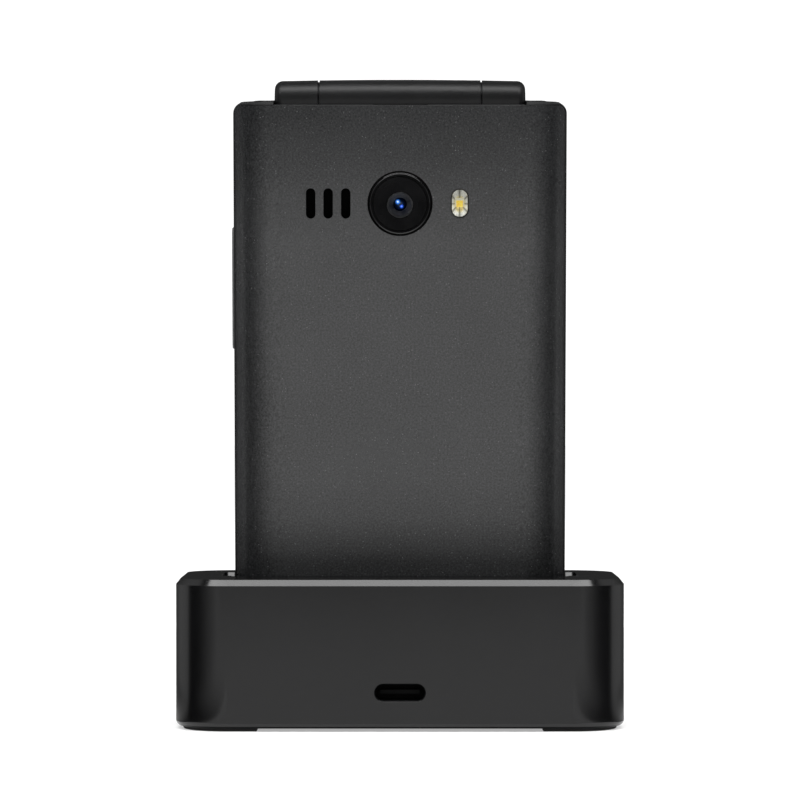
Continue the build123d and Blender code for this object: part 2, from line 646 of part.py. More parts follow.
with BuildPart() as camera_module:
    with BuildSketch(back_plane(3.1)):
        with Locations((0, CAM_Z - LENS_DROP)):
            RectangleRounded(8.4, 8.4, 0.6)
    extrude(amount=-3.7)
    with BuildSketch(back_plane(1.25)):
        with Locations((0, CAM_Z - LENS_DROP)):
            Circle(2.55)
    extrude(amount=-2)
    # funnel down to the lens
    with BuildSketch(back_plane(1.24)):
        with Locations((0, CAM_Z - LENS_DROP)):
            Circle(1.95)
    with BuildSketch(back_plane(2.3)):
        with Locations((0, CAM_Z - LENS_DROP)):
            Circle(1.18)
    loft(mode=Mode.SUBTRACT)
    with BuildSketch(back_plane(2.2)):
        with Locations((0, CAM_Z - LENS_DROP)):
            Circle(1.18)
    extrude(amount=-1.9, mode=Mode.SUBTRACT)
camera_module.part = SEAT * camera_module.part
camera_module.part.label = "camera_module"
export_step(camera_module.part, "parts/camera_module.step")

# front element: a domed glass disc
with BuildPart() as camera_lens:
    with BuildSketch(Plane.YZ) as lens_profile:
        with BuildLine():
            ThreePointArc((2.55, CAM_Z - LENS_DROP), (2.72, CAM_Z - LENS_DROP + 0.7), (3.1, CAM_Z - LENS_DROP + 1.15))
            Polyline(
                (3.1, CAM_Z - LENS_DROP + 1.15), (3.9, CAM_Z - LENS_DROP + 1.15), (3.9, CAM_Z - LENS_DROP),
                (2.55, CAM_Z - LENS_DROP),
            )
        make_face()
    revolve(axis=Axis((0, 0, CAM_Z - LENS_DROP), (0, 1, 0)))
camera_lens.part = SEAT * camera_lens.part
camera_lens.part.label = "camera_lens"
export_step(camera_lens.part, "parts/camera_lens.step")

# flash: clear lens over a dished reflector with one emitter
with BuildPart() as flash_lens:
    with BuildSketch(back_plane(0.05)):
        with Locations((FLASH_X, CAM_Z)):
            SlotOverall(FLASH_H - 0.12, FLASH_W - 0.12, rotation=90)
    extrude(amount=-1.2)
    with BuildSketch(back_plane(1.15)):
        with Locations((FLASH_X, CAM_Z)):
            SlotOverall(FLASH_H + 1.0, FLASH_W + 1.0, rotation=90)
    extrude(amount=-0.35)
flash_lens.part = SEAT * flash_lens.part
flash_lens.part.label = "flash_lens"
export_step(flash_lens.part, "parts/flash_lens.step")

with BuildPart() as flash_reflector:
    with BuildSketch(back_plane(1.55)):
        with Locations((FLASH_X, CAM_Z)):
            SlotOverall(FLASH_H + 1.0, FLASH_W + 1.0, rotation=90)
    extrude(amount=-2.6)
    with BuildSketch(back_plane(1.54)):
        with Locations((FLASH_X, CAM_Z)):
            SlotOverall(FLASH_H + 0.2, FLASH_W + 0.2, rotation=90)
    with BuildSketch(back_plane(3.1)):
        with Locations((FLASH_X, CAM_Z)):
            SlotOverall(2.6, 1.9, rotation=90)
    loft(mode=Mode.SUBTRACT)
    with BuildSketch(back_plane(3.0)):
        with Locations((FLASH_X, CAM_Z)):
            Rectangle(1.6, 1.6)
    extrude(amount=-3, mode=Mode.SUBTRACT)
flash_reflector.part = SEAT * flash_reflector.part
flash_reflector.part.label = "flash_reflector"
export_step(flash_reflector.part, "parts/flash_reflector.step")

with BuildPart() as flash_led:
    with BuildSketch(back_plane(2.6)):
        with Locations((FLASH_X, CAM_Z)):
            RectangleRounded(1.5, 1.5, 0.15)
    extrude(amount=-3.2)
    with BuildSketch(back_plane(4.3)):
        with Locations((FLASH_X, CAM_Z)):
            Rectangle(3.6, 4.6)
    extrude(amount=-2.5)
flash_led.part = SEAT * flash_led.part
flash_led.part.label = "flash_led"
export_step(flash_led.part, "parts/flash_led.step")

with BuildPart() as vibration_motor:
    with BuildSketch(back_plane(3.6)):
        with Locations((18.0, 88.5)):
            Circle(4.0)
    extrude(amount=-2.7)
    fillet(vibration_motor.edges().filter_by(GeomType.CIRCLE), radius=0.3)
    with BuildSketch(back_plane(6.3)):
        with Locations((18.0, 88.5)):
            Circle(3.6)
    extrude(amount=-0.55)
vibration_motor.part = SEAT * vibration_motor.part
vibration_motor.part.label = "vibration_motor"
export_step(vibration_motor.part, "parts/vibration_motor.step")

with BuildPart() as usb_port:
    with BuildSketch(Plane.XY.offset(0.35)):
        with Locations((0, PORT_Y)):
            SlotOverall(USB_OUT_W, USB_OUT_H)
    extrude(amount=7.3)
    with BuildSketch(Plane.XY.offset(0.35)):
        with Locations((0, PORT_Y)):
            SlotOverall(USB_W, USB_H)
    extrude(amount=6.4, mode=Mode.SUBTRACT)
    with BuildSketch(Plane.XY.offset(1.3)):
        with Locations((0, PORT_Y)):
            RectangleRounded(6.69, 0.7, 0.2)
    extrude(amount=5.6)
usb_port.part = SEAT * usb_port.part
usb_port.part.label = "usb_port"
export_step(usb_port.part, "parts/usb_port.step")

with BuildPart() as contact_pads:
    with BuildSketch(Plane.XY.offset(PAD_DEPTH)):
        with Locations((-PAD_X, PORT_Y), (PAD_X, PORT_Y)):
            Circle(1.38)
    extrude(amount=0.29)
contact_pads.part = SEAT * contact_pads.part
contact_pads.part.label = "contact_pads"
export_step(contact_pads.part, "parts/contact_pads.step")

# =============================================================== keypad
NUM_W, NUM_H, NUM_R = 15.2, 10.6, 2.2
NUM_PITCH_X, NUM_PITCH_Z = 16.6, 12.4
NUM_Z0 = 13.6
SIDE_W, SIDE_H = 12.4, 9.6
CALL_X, CALL_Z, SOFT_Z = 18.2, 63.0, 87.5
NAV_Z, NAV_R, NAV_IN, OK_R = 74.5, 12.2, 5.35, 4.95

number_keys = {}
for col in range(3):
    for row in range(4):
        label = [["star", "0", "hash"], ["7", "8", "9"], ["4", "5", "6"], ["1", "2", "3"]][row][col]
        # read from the keypad's own side, which faces +Y, the first column is the one at +X
        number_keys["key_" + label] = ((1 - col) * NUM_PITCH_X, NUM_Z0 + row * NUM_PITCH_Z)
side_keys = {
    "key_call": (CALL_X, CALL_Z),
    "key_end": (-CALL_X, CALL_Z),
    "key_soft_left": (CALL_X, SOFT_Z),
    "key_soft_right": (-CALL_X, SOFT_Z),
}

with BuildPart() as keypad_fascia:
    with BuildSketch(back_plane(9.15)):
        with Locations((0, 51.0)):
            RectangleRounded(53.8, 91.7, 1.9)
    extrude(amount=-(FACE_Y - 9.15))
    chamfer(keypad_fascia.faces().sort_by(Axis.Y)[-1].edges(), length=0.15)
    with BuildSketch(back_plane(9.0)):
        with Locations(*number_keys.values()):
            RectangleRounded(NUM_W + 2 * KEY_GAP, NUM_H + 2 * KEY_GAP, NUM_R + KEY_GAP)
        with Locations(*side_keys.values()):
            RectangleRounded(SIDE_W + 2 * KEY_GAP, SIDE_H + 2 * KEY_GAP, NUM_R + KEY_GAP)
        with Locations((0, NAV_Z)):
            Circle(NAV_R + KEY_GAP)
    extrude(amount=-2, mode=Mode.SUBTRACT)
keypad_fascia.part = SEAT * keypad_fascia.part
keypad_fascia.part.label = "keypad_fascia"
export_step(keypad_fascia.part, "parts/keypad_fascia.step")

with BuildPart() as dome_sheet:
    with BuildSketch(back_plane(7.72)):
        with Locations((0, 52.0)):
            RectangleRounded(49.0, 87.0, 1.5)
    extrude(amount=-0.15)
dome_sheet.part = SEAT * dome_sheet.part
dome_sheet.part.label = "dome_sheet"
export_step(dome_sheet.part, "parts/dome_sheet.step")

# each key: a head through the fascia, a wider flange under it and a plunger over its dome
for key_name, (kx, kz) in {**number_keys, **side_keys}.items():
    kw, kh = (NUM_W, NUM_H) if key_name in number_keys else (SIDE_W, SIDE_H)
    with BuildPart() as key:
        with BuildSketch(back_plane(8.9)):
            with Locations((kx, kz)):
                RectangleRounded(kw, kh, NUM_R)
        extrude(amount=-(KEY_TOP - 8.9))
        fillet(key.faces().sort_by(Axis.Y)[-1].edges(), radius=0.35)
        with BuildSketch(back_plane(8.45)):
            with Locations((kx, kz)):
                RectangleRounded(kw + 2 * KEY_FLANGE, kh + 2 * KEY_FLANGE, NUM_R)
        extrude(amount=-0.6)
        with BuildSketch(back_plane(8.22)):
            with Locations((kx, kz)):
                Circle(1.5)
        extrude(amount=-0.4)
    key.part = SEAT * key.part
    key.part.label = key_name
    export_step(key.part, "parts/" + key_name + ".step")

with BuildPart() as nav_ring:
    with BuildSketch(back_plane(8.9)):
        with Locations((0, NAV_Z)):
            Circle(NAV_R)
            Circle(NAV_IN, mode=Mode.SUBTRACT)
    extrude(amount=-(KEY_TOP - 8.9))
    fillet(nav_ring.faces().sort_by(Axis.Y)[-1].edges(), radius=0.35)
    with BuildSketch(back_plane(8.45)):
        with Locations((0, NAV_Z)):
            Circle(NAV_R + 0.4)
            Circle(NAV_IN + 0.45, mode=Mode.SUBTRACT)
    extrude(amount=-0.6)
    with BuildSketch(back_plane(8.22)):
        with Locations((9.0, NAV_Z), (-9.0, NAV_Z), (0, NAV_Z + 9.0), (0, NAV_Z - 9.0)):
            Circle(1.3)
    extrude(amount=-0.4)
nav_ring.part = SEAT * nav_ring.part
nav_ring.part.label = "nav_ring"
export_step(nav_ring.part, "parts/nav_ring.step")

with BuildPart() as nav_ok:
    with BuildSketch(back_plane(8.6)):
        with Locations((0, NAV_Z)):
            Circle(OK_R)
    extrude(amount=-(KEY_TOP - 8.6))
    fillet(nav_ok.faces().sort_by(Axis.Y)[-1].edges(), radius=0.35)
    with BuildSketch(back_plane(8.22)):
        with Locations((0, NAV_Z)):
            Circle(1.5)
    extrude(amount=-0.6)
nav_ok.part = SEAT * nav_ok.part
nav_ok.part.label = "nav_ok"
export_step(nav_ok.part, "parts/nav_ok.step")

# volume rocker in the left-hand rail, standing slightly proud
with BuildPart() as volume_key:
    with BuildSketch(Plane.YZ.offset(-PH_W / 2 - VOL_PROUD)):
        with Locations((VOL_Y, VOL_Z)):
            SlotOverall(VOL_LEN, VOL_T, rotation=90)
    extrude(amount=1.6)
    fillet(volume_key.faces().sort_by(Axis.X)[0].edges(), radius=0.3)
volume_key.part = SEAT * volume_key.part
volume_key.part.label = "volume_key"
export_step(volume_key.part, "parts/volume_key.step")

# =============================================================== hinge
with BuildPart() as hinge_module:
    with BuildSketch(Plane.YZ.offset(-20.8)):
        with Locations((HINGE_Y, HINGE_Z)):
            Circle(2.6)
    extrude(amount=15.6)
    chamfer(hinge_module.edges().filter_by(GeomType.CIRCLE), length=0.3)
    # thrust washer between knuckle and barrel
    with BuildSketch(Plane.YZ.offset(-(BARREL_X + PIN_GAP))):
        with Locations((HINGE_Y, HINGE_Z)):
            Circle(3.7)
    extrude(amount=-0.2)
hinge_module.part = SEAT * hinge_module.part
hinge_module.part.label = "hinge_module"
export_step(hinge_module.part, "parts/hinge_module.step")

with BuildPart() as hinge_pin:
    with BuildSketch(Plane.YZ.offset(20.8)):
        with Locations((HINGE_Y, HINGE_Z)):
            Circle(1.5)
    extrude(amount=-15.6)
    chamfer(hinge_pin.edges().filter_by(GeomType.CIRCLE), length=0.3)
    # thrust washer between knuckle and barrel
    with BuildSketch(Plane.YZ.offset(BARREL_X + PIN_GAP)):
        with Locations((HINGE_Y, HINGE_Z)):
            Circle(3.7)
    extrude(amount=0.2)
hinge_pin.part = SEAT * hinge_pin.part
hinge_pin.part.label = "hinge_pin"
export_step(hinge_pin.part, "parts/hinge_pin.step")

# =============================================================== lid
LID_R, LID_EDGE, LID_T = 4.0, 2.6, 1.3
LID_MID_Z = (LID_Z0 + LID_Z1) / 2
LID_H = LID_Z1 - LID_Z0
WIN_Z, WIN_W, WIN_H = 74.0, 40.0, 42.0

# hollow of the lid, kept away from the hinge line
with BuildPart() as lid_hollow:
    with BuildSketch(back_plane(11.9)):
        with Locations((0, LID_MID_Z)):
            RectangleRounded(PH_W - 2 * LID_T, LID_H - 2 * LID_T, LID_R - LID_T)
    extrude(amount=-(LID_Y1 - LID_T - 11.9))
    fillet(lid_hollow.faces().sort_by(Axis.Y)[-1].edges(), radius=1.3)
    with BuildSketch(Plane.YZ.offset(-40)):
        with Locations((HINGE_Y, HINGE_Z)):
            Circle(HINGE_R + SWING_GAP + 1.1)
    extrude(amount=80, mode=Mode.SUBTRACT)

with BuildPart() as lid_shell:
    with BuildSketch(back_plane(LID_Y0)):
        with Locations((0, LID_MID_Z)):
            RectangleRounded(PH_W, LID_H, LID_R)
    extrude(amount=-(LID_Y1 - LID_Y0))
    fillet(lid_shell.faces().sort_by(Axis.Y)[-1].edges(), radius=LID_EDGE)
    add(lid_hollow.part, mode=Mode.SUBTRACT)
    # rebate for the inner fascia
    with BuildSketch(back_plane(LID_Y0 - 1)):
        with Locations((0, 51.45)):
            RectangleRounded(PH_W - 2 * 1.2, 90.7, 3.0)
    extrude(amount=-(1 + 12.0 - LID_Y0), mode=Mode.SUBTRACT)
    # room for the base's knuckles and hubs, whole width
    with BuildSketch(Plane.YZ.offset(-40)):
        with Locations((HINGE_Y, HINGE_Z)):
            Circle(HINGE_R + SWING_GAP)
    extrude(amount=80, mode=Mode.SUBTRACT)
    # opening for the outer window
    with BuildSketch(back_plane(16)):
        with Locations((0, WIN_Z)):
            RectangleRounded(WIN_W, WIN_H, 4.0)
    extrude(amount=-5, mode=Mode.SUBTRACT)
    # centre barrel on its neck
    with BuildSketch(Plane.XZ.offset(-HINGE_Y)):
        with BuildLine():
            Polyline(
                (BARREL_X, HINGE_Z + barrel_r(BARREL_X)), (BARREL_X, HINGE_Z),
                (-BARREL_X, HINGE_Z), (-BARREL_X, HINGE_Z + barrel_r(BARREL_X)),
            )
            ThreePointArc(
                (-BARREL_X, HINGE_Z + barrel_r(BARREL_X)),
                (0, HINGE_Z + HINGE_R),
                (BARREL_X, HINGE_Z + barrel_r(BARREL_X)),
            )
        make_face()
    revolve(axis=HINGE_AXIS)
    with BuildSketch(back_plane(HINGE_Y + 2.6)):
        with Locations((0, HINGE_Z - 1.9)):
            Rectangle(2 * BARREL_X, 4.4)
    extrude(amount=-2.4)
    # bores: cam module, pin, and the hollow that the display flex rolls in
    with BuildSketch(Plane.YZ.offset(-BARREL_X - 1)):
        with Locations((HINGE_Y, HINGE_Z)):
            Circle(2.6 + PIN_GAP)
    extrude(amount=1 + BARREL_X - 5.0, mode=Mode.SUBTRACT)
    with BuildSketch(Plane.YZ.offset(BARREL_X + 1)):
        with Locations((HINGE_Y, HINGE_Z)):
            Circle(1.5 + PIN_GAP)
    extrude(amount=-(1 + BARREL_X - 5.0), mode=Mode.SUBTRACT)
    with BuildSketch(Plane.YZ.offset(-4.4)):
        with Locations((HINGE_Y, HINGE_Z)):
            Circle(2.7)
        with Locations((HINGE_Y + 3.4, HINGE_Z - 2.05)):
            Rectangle(6.8, 0.7)
    extrude(amount=8.8, mode=Mode.SUBTRACT)
lid_shell.part = SEAT * lid_shell.part
lid_shell.part.label = "lid_shell"
export_step(lid_shell.part, "parts/lid_shell.step")

# display flex: one turn inside the barrel, then into the lid
with BuildPart() as hinge_flex:
    with BuildSketch(Plane.YZ.offset(-4.0)):
        with Locations((HINGE_Y, HINGE_Z)):
            Circle(2.2)
            Circle(2.0, mode=Mode.SUBTRACT)
        with Locations((HINGE_Y + 3.0, HINGE_Z - 2.1)):
            Rectangle(6.0, 0.2)
    extrude(amount=8.0)
hinge_flex.part = SEAT * hinge_flex.part
hinge_flex.part.label = "hinge_flex"
export_step(hinge_flex.part, "parts/hinge_flex.step")

with BuildPart() as lid_fascia:
    with BuildSketch(back_plane(LID_Y0)):
        with Locations((0, 51.45)):
            RectangleRounded(PH_W - 2 * 1.3, 90.5, 2.9)
    extrude(amount=-(11.95 - LID_Y0))
    chamfer(lid_fascia.faces().sort_by(Axis.Y)[0].edges(), length=0.15)
    # seat of the display glass, opening for the display, earpiece slot
    with BuildSketch(back_plane(LID_Y0 - 1)):
        with Locations((0, 54.0)):
            RectangleRounded(51.2, 77.2, 2.0)
    extrude(amount=-1.85, mode=Mode.SUBTRACT)
    with BuildSketch(back_plane(LID_Y0 - 1)):
        with Locations((0, 54.0)):
            Rectangle(49.0, 74.0)
        with Locations((0, 10.9)):
            SlotOverall(12.0, 1.4)
    extrude(amount=-4, mode=Mode.SUBTRACT)
    # blind seats for the bumpers
    with BuildSketch(back_plane(LID_Y0 - 1)):
        with Locations((-25.6, 10.0), (25.6, 10.0), (-25.6, 94.4), (25.6, 94.4)):
            Circle(1.14)
    extrude(amount=-1.4, mode=Mode.SUBTRACT)
lid_fascia.part = SEAT * lid_fascia.part
lid_fascia.part.label = "lid_fascia"
export_step(lid_fascia.part, "parts/lid_fascia.step")

with BuildPart() as lid_bumpers:
    with BuildSketch(back_plane(10.25)):
        with Locations((-25.6, 10.0), (25.6, 10.0), (-25.6, 94.4), (25.6, 94.4)):
            Circle(1.1)
    extrude(amount=-(LID_Y0 + 0.38 - 10.25))
    fillet(lid_bumpers.edges().filter_by(GeomType.CIRCLE).filter_by(lambda e: e.center().Y < 10.4), radius=0.25)
lid_bumpers.part = SEAT * lid_bumpers.part
lid_bumpers.part.label = "lid_bumpers"
export_step(lid_bumpers.part, "parts/lid_bumpers.step")

with BuildPart() as display_glass:
    with BuildSketch(back_plane(LID_Y0 + 0.05)):
        with Locations((0, 54.0)):
            RectangleRounded(51.0, 77.0, 1.9)
    extrude(amount=-0.75)
    chamfer(display_glass.faces().sort_by(Axis.Y)[0].edges(), length=0.12)
display_glass.part = SEAT * display_glass.part
display_glass.part.label = "display_glass"
export_step(display_glass.part, "parts/display_glass.step")

with BuildPart() as main_display:
    with BuildSketch(back_plane(11.65)):
        with Locations((0, 54.0)):
            RectangleRounded(48.6, 73.4, 0.5)
    extrude(amount=-1.9)
main_display.part = SEAT * main_display.part
main_display.part.label = "main_display"
export_step(main_display.part, "parts/main_display.step")

with BuildPart() as earpiece:
    with BuildSketch(back_plane(12.05)):
        with Locations((0, 11.2)):
            RectangleRounded(14.0, 6.0, 1.5)
    extrude(amount=-2.8)
earpiece.part = SEAT * earpiece.part
earpiece.part.label = "earpiece"
export_step(earpiece.part, "parts/earpiece.step")

with BuildPart() as outer_display:
    with BuildSketch(back_plane(15.4)):
        with Locations((0, WIN_Z)):
            RectangleRounded(36.0, 38.0, 0.8)
    extrude(amount=-1.9)
outer_display.part = SEAT * outer_display.part
outer_display.part.label = "outer_display"
export_step(outer_display.part, "parts/outer_display.step")

with BuildPart() as lid_window:
    with BuildSketch(back_plane(17.4)):
        with Locations((0, WIN_Z)):
            RectangleRounded(WIN_W - 0.2, WIN_H - 0.2, 3.9)
    extrude(amount=-(LID_Y1 - 0.05 - 17.4))
    chamfer(lid_window.faces().sort_by(Axis.Y)[-1].edges(), length=0.15)
lid_window.part = SEAT * lid_window.part
lid_window.part.label = "lid_window"
export_step(lid_window.part, "parts/lid_window.step")
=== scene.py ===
import bpy, bmesh, math
from mathutils import Matrix, Vector


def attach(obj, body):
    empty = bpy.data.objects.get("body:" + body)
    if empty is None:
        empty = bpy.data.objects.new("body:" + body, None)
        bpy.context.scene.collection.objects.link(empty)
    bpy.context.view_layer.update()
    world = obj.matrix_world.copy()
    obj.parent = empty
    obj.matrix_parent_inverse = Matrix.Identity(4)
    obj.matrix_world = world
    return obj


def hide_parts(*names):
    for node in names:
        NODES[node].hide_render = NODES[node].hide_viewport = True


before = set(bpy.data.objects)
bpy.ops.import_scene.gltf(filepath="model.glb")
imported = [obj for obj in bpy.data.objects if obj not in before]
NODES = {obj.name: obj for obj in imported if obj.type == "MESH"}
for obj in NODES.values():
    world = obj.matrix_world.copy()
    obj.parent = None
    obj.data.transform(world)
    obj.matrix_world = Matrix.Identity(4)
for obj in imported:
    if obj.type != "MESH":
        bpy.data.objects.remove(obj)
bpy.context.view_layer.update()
MM = 0.001

# the phone stands in the cradle leaning back six degrees; its own upright frame is in millimetres
LEAN = math.radians(6.0)
SEAT = Matrix.Translation((0, -0.0027, 0.0037)) @ Matrix.Rotation(LEAN, 4, "X")
CAM_Z, LENS_DROP = 85.8, 0.3
FLASH_X = 10.16
KEY_TOP = 10.5
NAV_Z = 74.5
CALL_X, CALL_Z, SOFT_Z = 18.2, 63.0, 87.5


# ------------------------------------------------------------------ node material helper
class Look:
    """One procedural material: a Principled shader plus whatever feeds it."""

    def __init__(self, name):
        self.mat = bpy.data.materials.new(name)
        self.mat.use_nodes = True
        self.tree = self.mat.node_tree
        self.tree.nodes.clear()
        self.out = self.node("ShaderNodeOutputMaterial")
        self.bsdf = self.node("ShaderNodeBsdfPrincipled")
        self.link(self.bsdf.outputs["BSDF"], self.out.inputs["Surface"])
        self.coord = self.node("ShaderNodeTexCoord").outputs["Object"]

    def node(self, kind, **props):
        n = self.tree.nodes.new(kind)
        for k, v in props.items():
            setattr(n, k, v)
        return n

    def link(self, a, b):
        self.tree.links.new(a, b)

    def set(self, **values):
        for k, v in values.items():
            key = {
                "rough": "Roughness", "metal": "Metallic", "ior": "IOR", "spec": "Specular IOR Level",
                "coat": "Coat Weight", "coat_rough": "Coat Roughness", "coat_ior": "Coat IOR",
                "trans": "Transmission Weight", "aniso": "Anisotropic", "sheen": "Sheen Weight", "alpha": "Alpha",
            }.get(k, k)
            if k == "color":
                self.bsdf.inputs["Base Color"].default_value = (*v, 1.0)
            elif k == "tint":
                self.bsdf.inputs["Specular Tint"].default_value = (*v, 1.0)
            else:
                self.bsdf.inputs[key].default_value = v
        return self

    def phone(self):
        """Coordinates of the phone's own upright frame, in metres."""
        m = self.node("ShaderNodeMapping", vector_type="TEXTURE")
        m.inputs["Location"].default_value = (0, -0.0027, 0.0037)
        m.inputs["Rotation"].default_value = (LEAN, 0, 0)
        self.link(self.coord, m.inputs["Vector"])
        return m.outputs["Vector"]

    def pane_gloss(self, f0):
        """Share of light that a thin clear pane mirrors: f0 face on, all of it edge on, the same from both of its sides."""
        edge = self.node("ShaderNodeLayerWeight")
        edge.inputs["Blend"].default_value = 0.5
        rise = self.math("POWER", edge.outputs["Facing"], 5.0)
        return self.math("ADD", self.math("MULTIPLY", rise, 1.0 - f0), f0)

    def moved(self, vec, loc=(0, 0, 0), scale=(1, 1, 1)):
        m = self.node("ShaderNodeMapping", vector_type="POINT")
        m.inputs["Location"].default_value = loc
        m.inputs["Scale"].default_value = scale
        self.link(vec, m.inputs["Vector"])
        return m.outputs["Vector"]

    def noise(self, scale, detail=2.0, rough=0.5, vec=None, distortion=0.0):
        n = self.node("ShaderNodeTexNoise")
        n.inputs["Scale"].default_value = scale
        n.inputs["Detail"].default_value = detail
        n.inputs["Roughness"].default_value = rough
        n.inputs["Distortion"].default_value = distortion
        self.link(vec if vec is not None else self.coord, n.inputs["Vector"])
        return n.outputs["Fac"]

    def voronoi(self, scale, feature="F1", vec=None, out="Distance", randomness=1.0):
        n = self.node("ShaderNodeTexVoronoi", feature=feature)
        n.inputs["Scale"].default_value = scale
        n.inputs["Randomness"].default_value = randomness
        self.link(vec if vec is not None else self.coord, n.inputs["Vector"])
        return n.outputs[out]

    def math(self, op, a, b=None, clamp=False):
        n = self.node("ShaderNodeMath", operation=op, use_clamp=clamp)
        for i, v in enumerate((a, b)):
            if v is None:
                continue
            if hasattr(v, "is_output"):
                self.link(v, n.inputs[i])
            else:
                n.inputs[i].default_value = v
        return n.outputs[0]

    def remap(self, v, a, b, c=0.0, d=1.0, smooth=False):
        n = self.node("ShaderNodeMapRange", interpolation_type="SMOOTHSTEP" if smooth else "LINEAR")
        n.clamp = True
        self.link(v, n.inputs["Value"])
        for k, x in zip(("From Min", "From Max", "To Min", "To Max"), (a, b, c, d)):
            n.inputs[k].default_value = x
        return n.outputs["Result"]

    def ramp(self, v, stops, interpolation="LINEAR"):
        n = self.node("ShaderNodeValToRGB")
        n.color_ramp.interpolation = interpolation
        els = n.color_ramp.elements
        while len(els) < len(stops):
            els.new(0.5)
        for e, (p, c) in zip(els, stops):
            e.position = p
            e.color = (*c, 1.0)
        self.link(v, n.inputs["Fac"])
        return n.outputs["Color"]

    def mix(self, fac, a, b, blend="MIX"):
        n = self.node("ShaderNodeMix", data_type="RGBA", blend_type=blend)
        for i, v in ((0, fac), (6, a), (7, b)):
            if hasattr(v, "is_output"):
                self.link(v, n.inputs[i])
            else:
                n.inputs[i].default_value = v if i == 0 else (*v, 1.0)
        return n.outputs[2]

    def xyz(self, vec):
        n = self.node("ShaderNodeSeparateXYZ")
        self.link(vec, n.inputs[0])
        return n.outputs[0], n.outputs[1], n.outputs[2]

    def color(self, socket):
        self.link(socket, self.bsdf.inputs["Base Color"])
        return self

    def rough(self, socket):
        self.link(socket, self.bsdf.inputs["Roughness"])
        return self

    def bump(self, height, depth, strength=1.0, chain=None):
        n = self.node("ShaderNodeBump")
        n.inputs["Strength"].default_value = strength
        n.inputs["Distance"].default_value = depth
        self.link(height, n.inputs["Height"])
        if chain is not None:
            self.link(chain, n.inputs["Normal"])
        self.link(n.outputs["Normal"], self.bsdf.inputs["Normal"])
        return n.outputs["Normal"]


def satin(name, dark, light, rough=(0.3, 0.38), grain=2600.0, depth=4e-6, spec=0.5, ior=1.46, smear=45.0):
    """Moulded plastic: faint colour drift, handling marks in the gloss, and a fine eroded grain."""
    k = Look(name).set(ior=ior, spec=spec)
    drift = k.noise(38.0, 3.0, 0.6)
    fine = k.noise(grain * 0.4, 2.0)
    both = k.math("ADD", k.math("MULTIPLY", drift, 0.7), k.math("MULTIPLY", fine, 0.3))
    k.color(k.ramp(both, [(0.36, dark), (0.66, light)]))
    k.rough(k.remap(k.noise(smear, 2.0, 0.5), 0.15, 0.85, *rough))
    k.bump(k.noise(grain, 2.0, 0.6), depth)
    return k


def metal(name, dark, light, rough=(0.22, 0.36), brush=(60, 3000, 3000), depth=2e-6):
    """Plated or brushed metal with drawn lines along its first axis."""
    k = Look(name).set(metal=1.0)
    lines = k.noise(1.0, 3.0, 0.7, vec=k.moved(k.coord, scale=brush))
    k.color(k.ramp(lines, [(0.3, dark), (0.7, light)]))
    k.rough(k.remap(k.noise(160.0, 3.0), 0.3, 0.7, *rough))
    k.bump(lines, depth)
    return k


M = {}

# cradle: black satin moulding
k = satin("cradle_plastic", (0.0022, 0.0022, 0.0024), (0.0038, 0.0038, 0.0041), rough=(0.14, 0.17), grain=3600.0, depth=1.2e-6, ior=1.47)
wx, wy, wz = k.xyz(k.coord)
# the gloss is turned down at the mouth of the charging inlet and along the bottom band of the wall: painted shade
inlet_painted_shade = k.math("MULTIPLY", k.math("MULTIPLY", k.remap(k.math("ABSOLUTE", wx), 4.7 * MM, 4.6 * MM), k.remap(k.math("ABSOLUTE", k.math("SUBTRACT", wz, 6.59 * MM)), 1.9 * MM, 1.8 * MM)), k.remap(wy, -19.598 * MM, -19.585 * MM))
skirt_painted_shade = k.remap(wz, 0.95 * MM, 0.75 * MM)
k.link(k.remap(k.math("MAXIMUM", inlet_painted_shade, skirt_painted_shade), 0.0, 1.0, 0.5, 0.02), k.bsdf.inputs["Specular IOR Level"])
M["cradle_plastic"] = k

# rubber feet and bumpers
for name, base in (("foot_rubber", 0.006), ("bumper_rubber", 0.02)):
    k = satin(name, (base * 0.7,) * 3, (base * 1.3,) * 3, rough=(0.72, 0.9), grain=5200.0, depth=9e-6, spec=0.35)
    M[name] = k

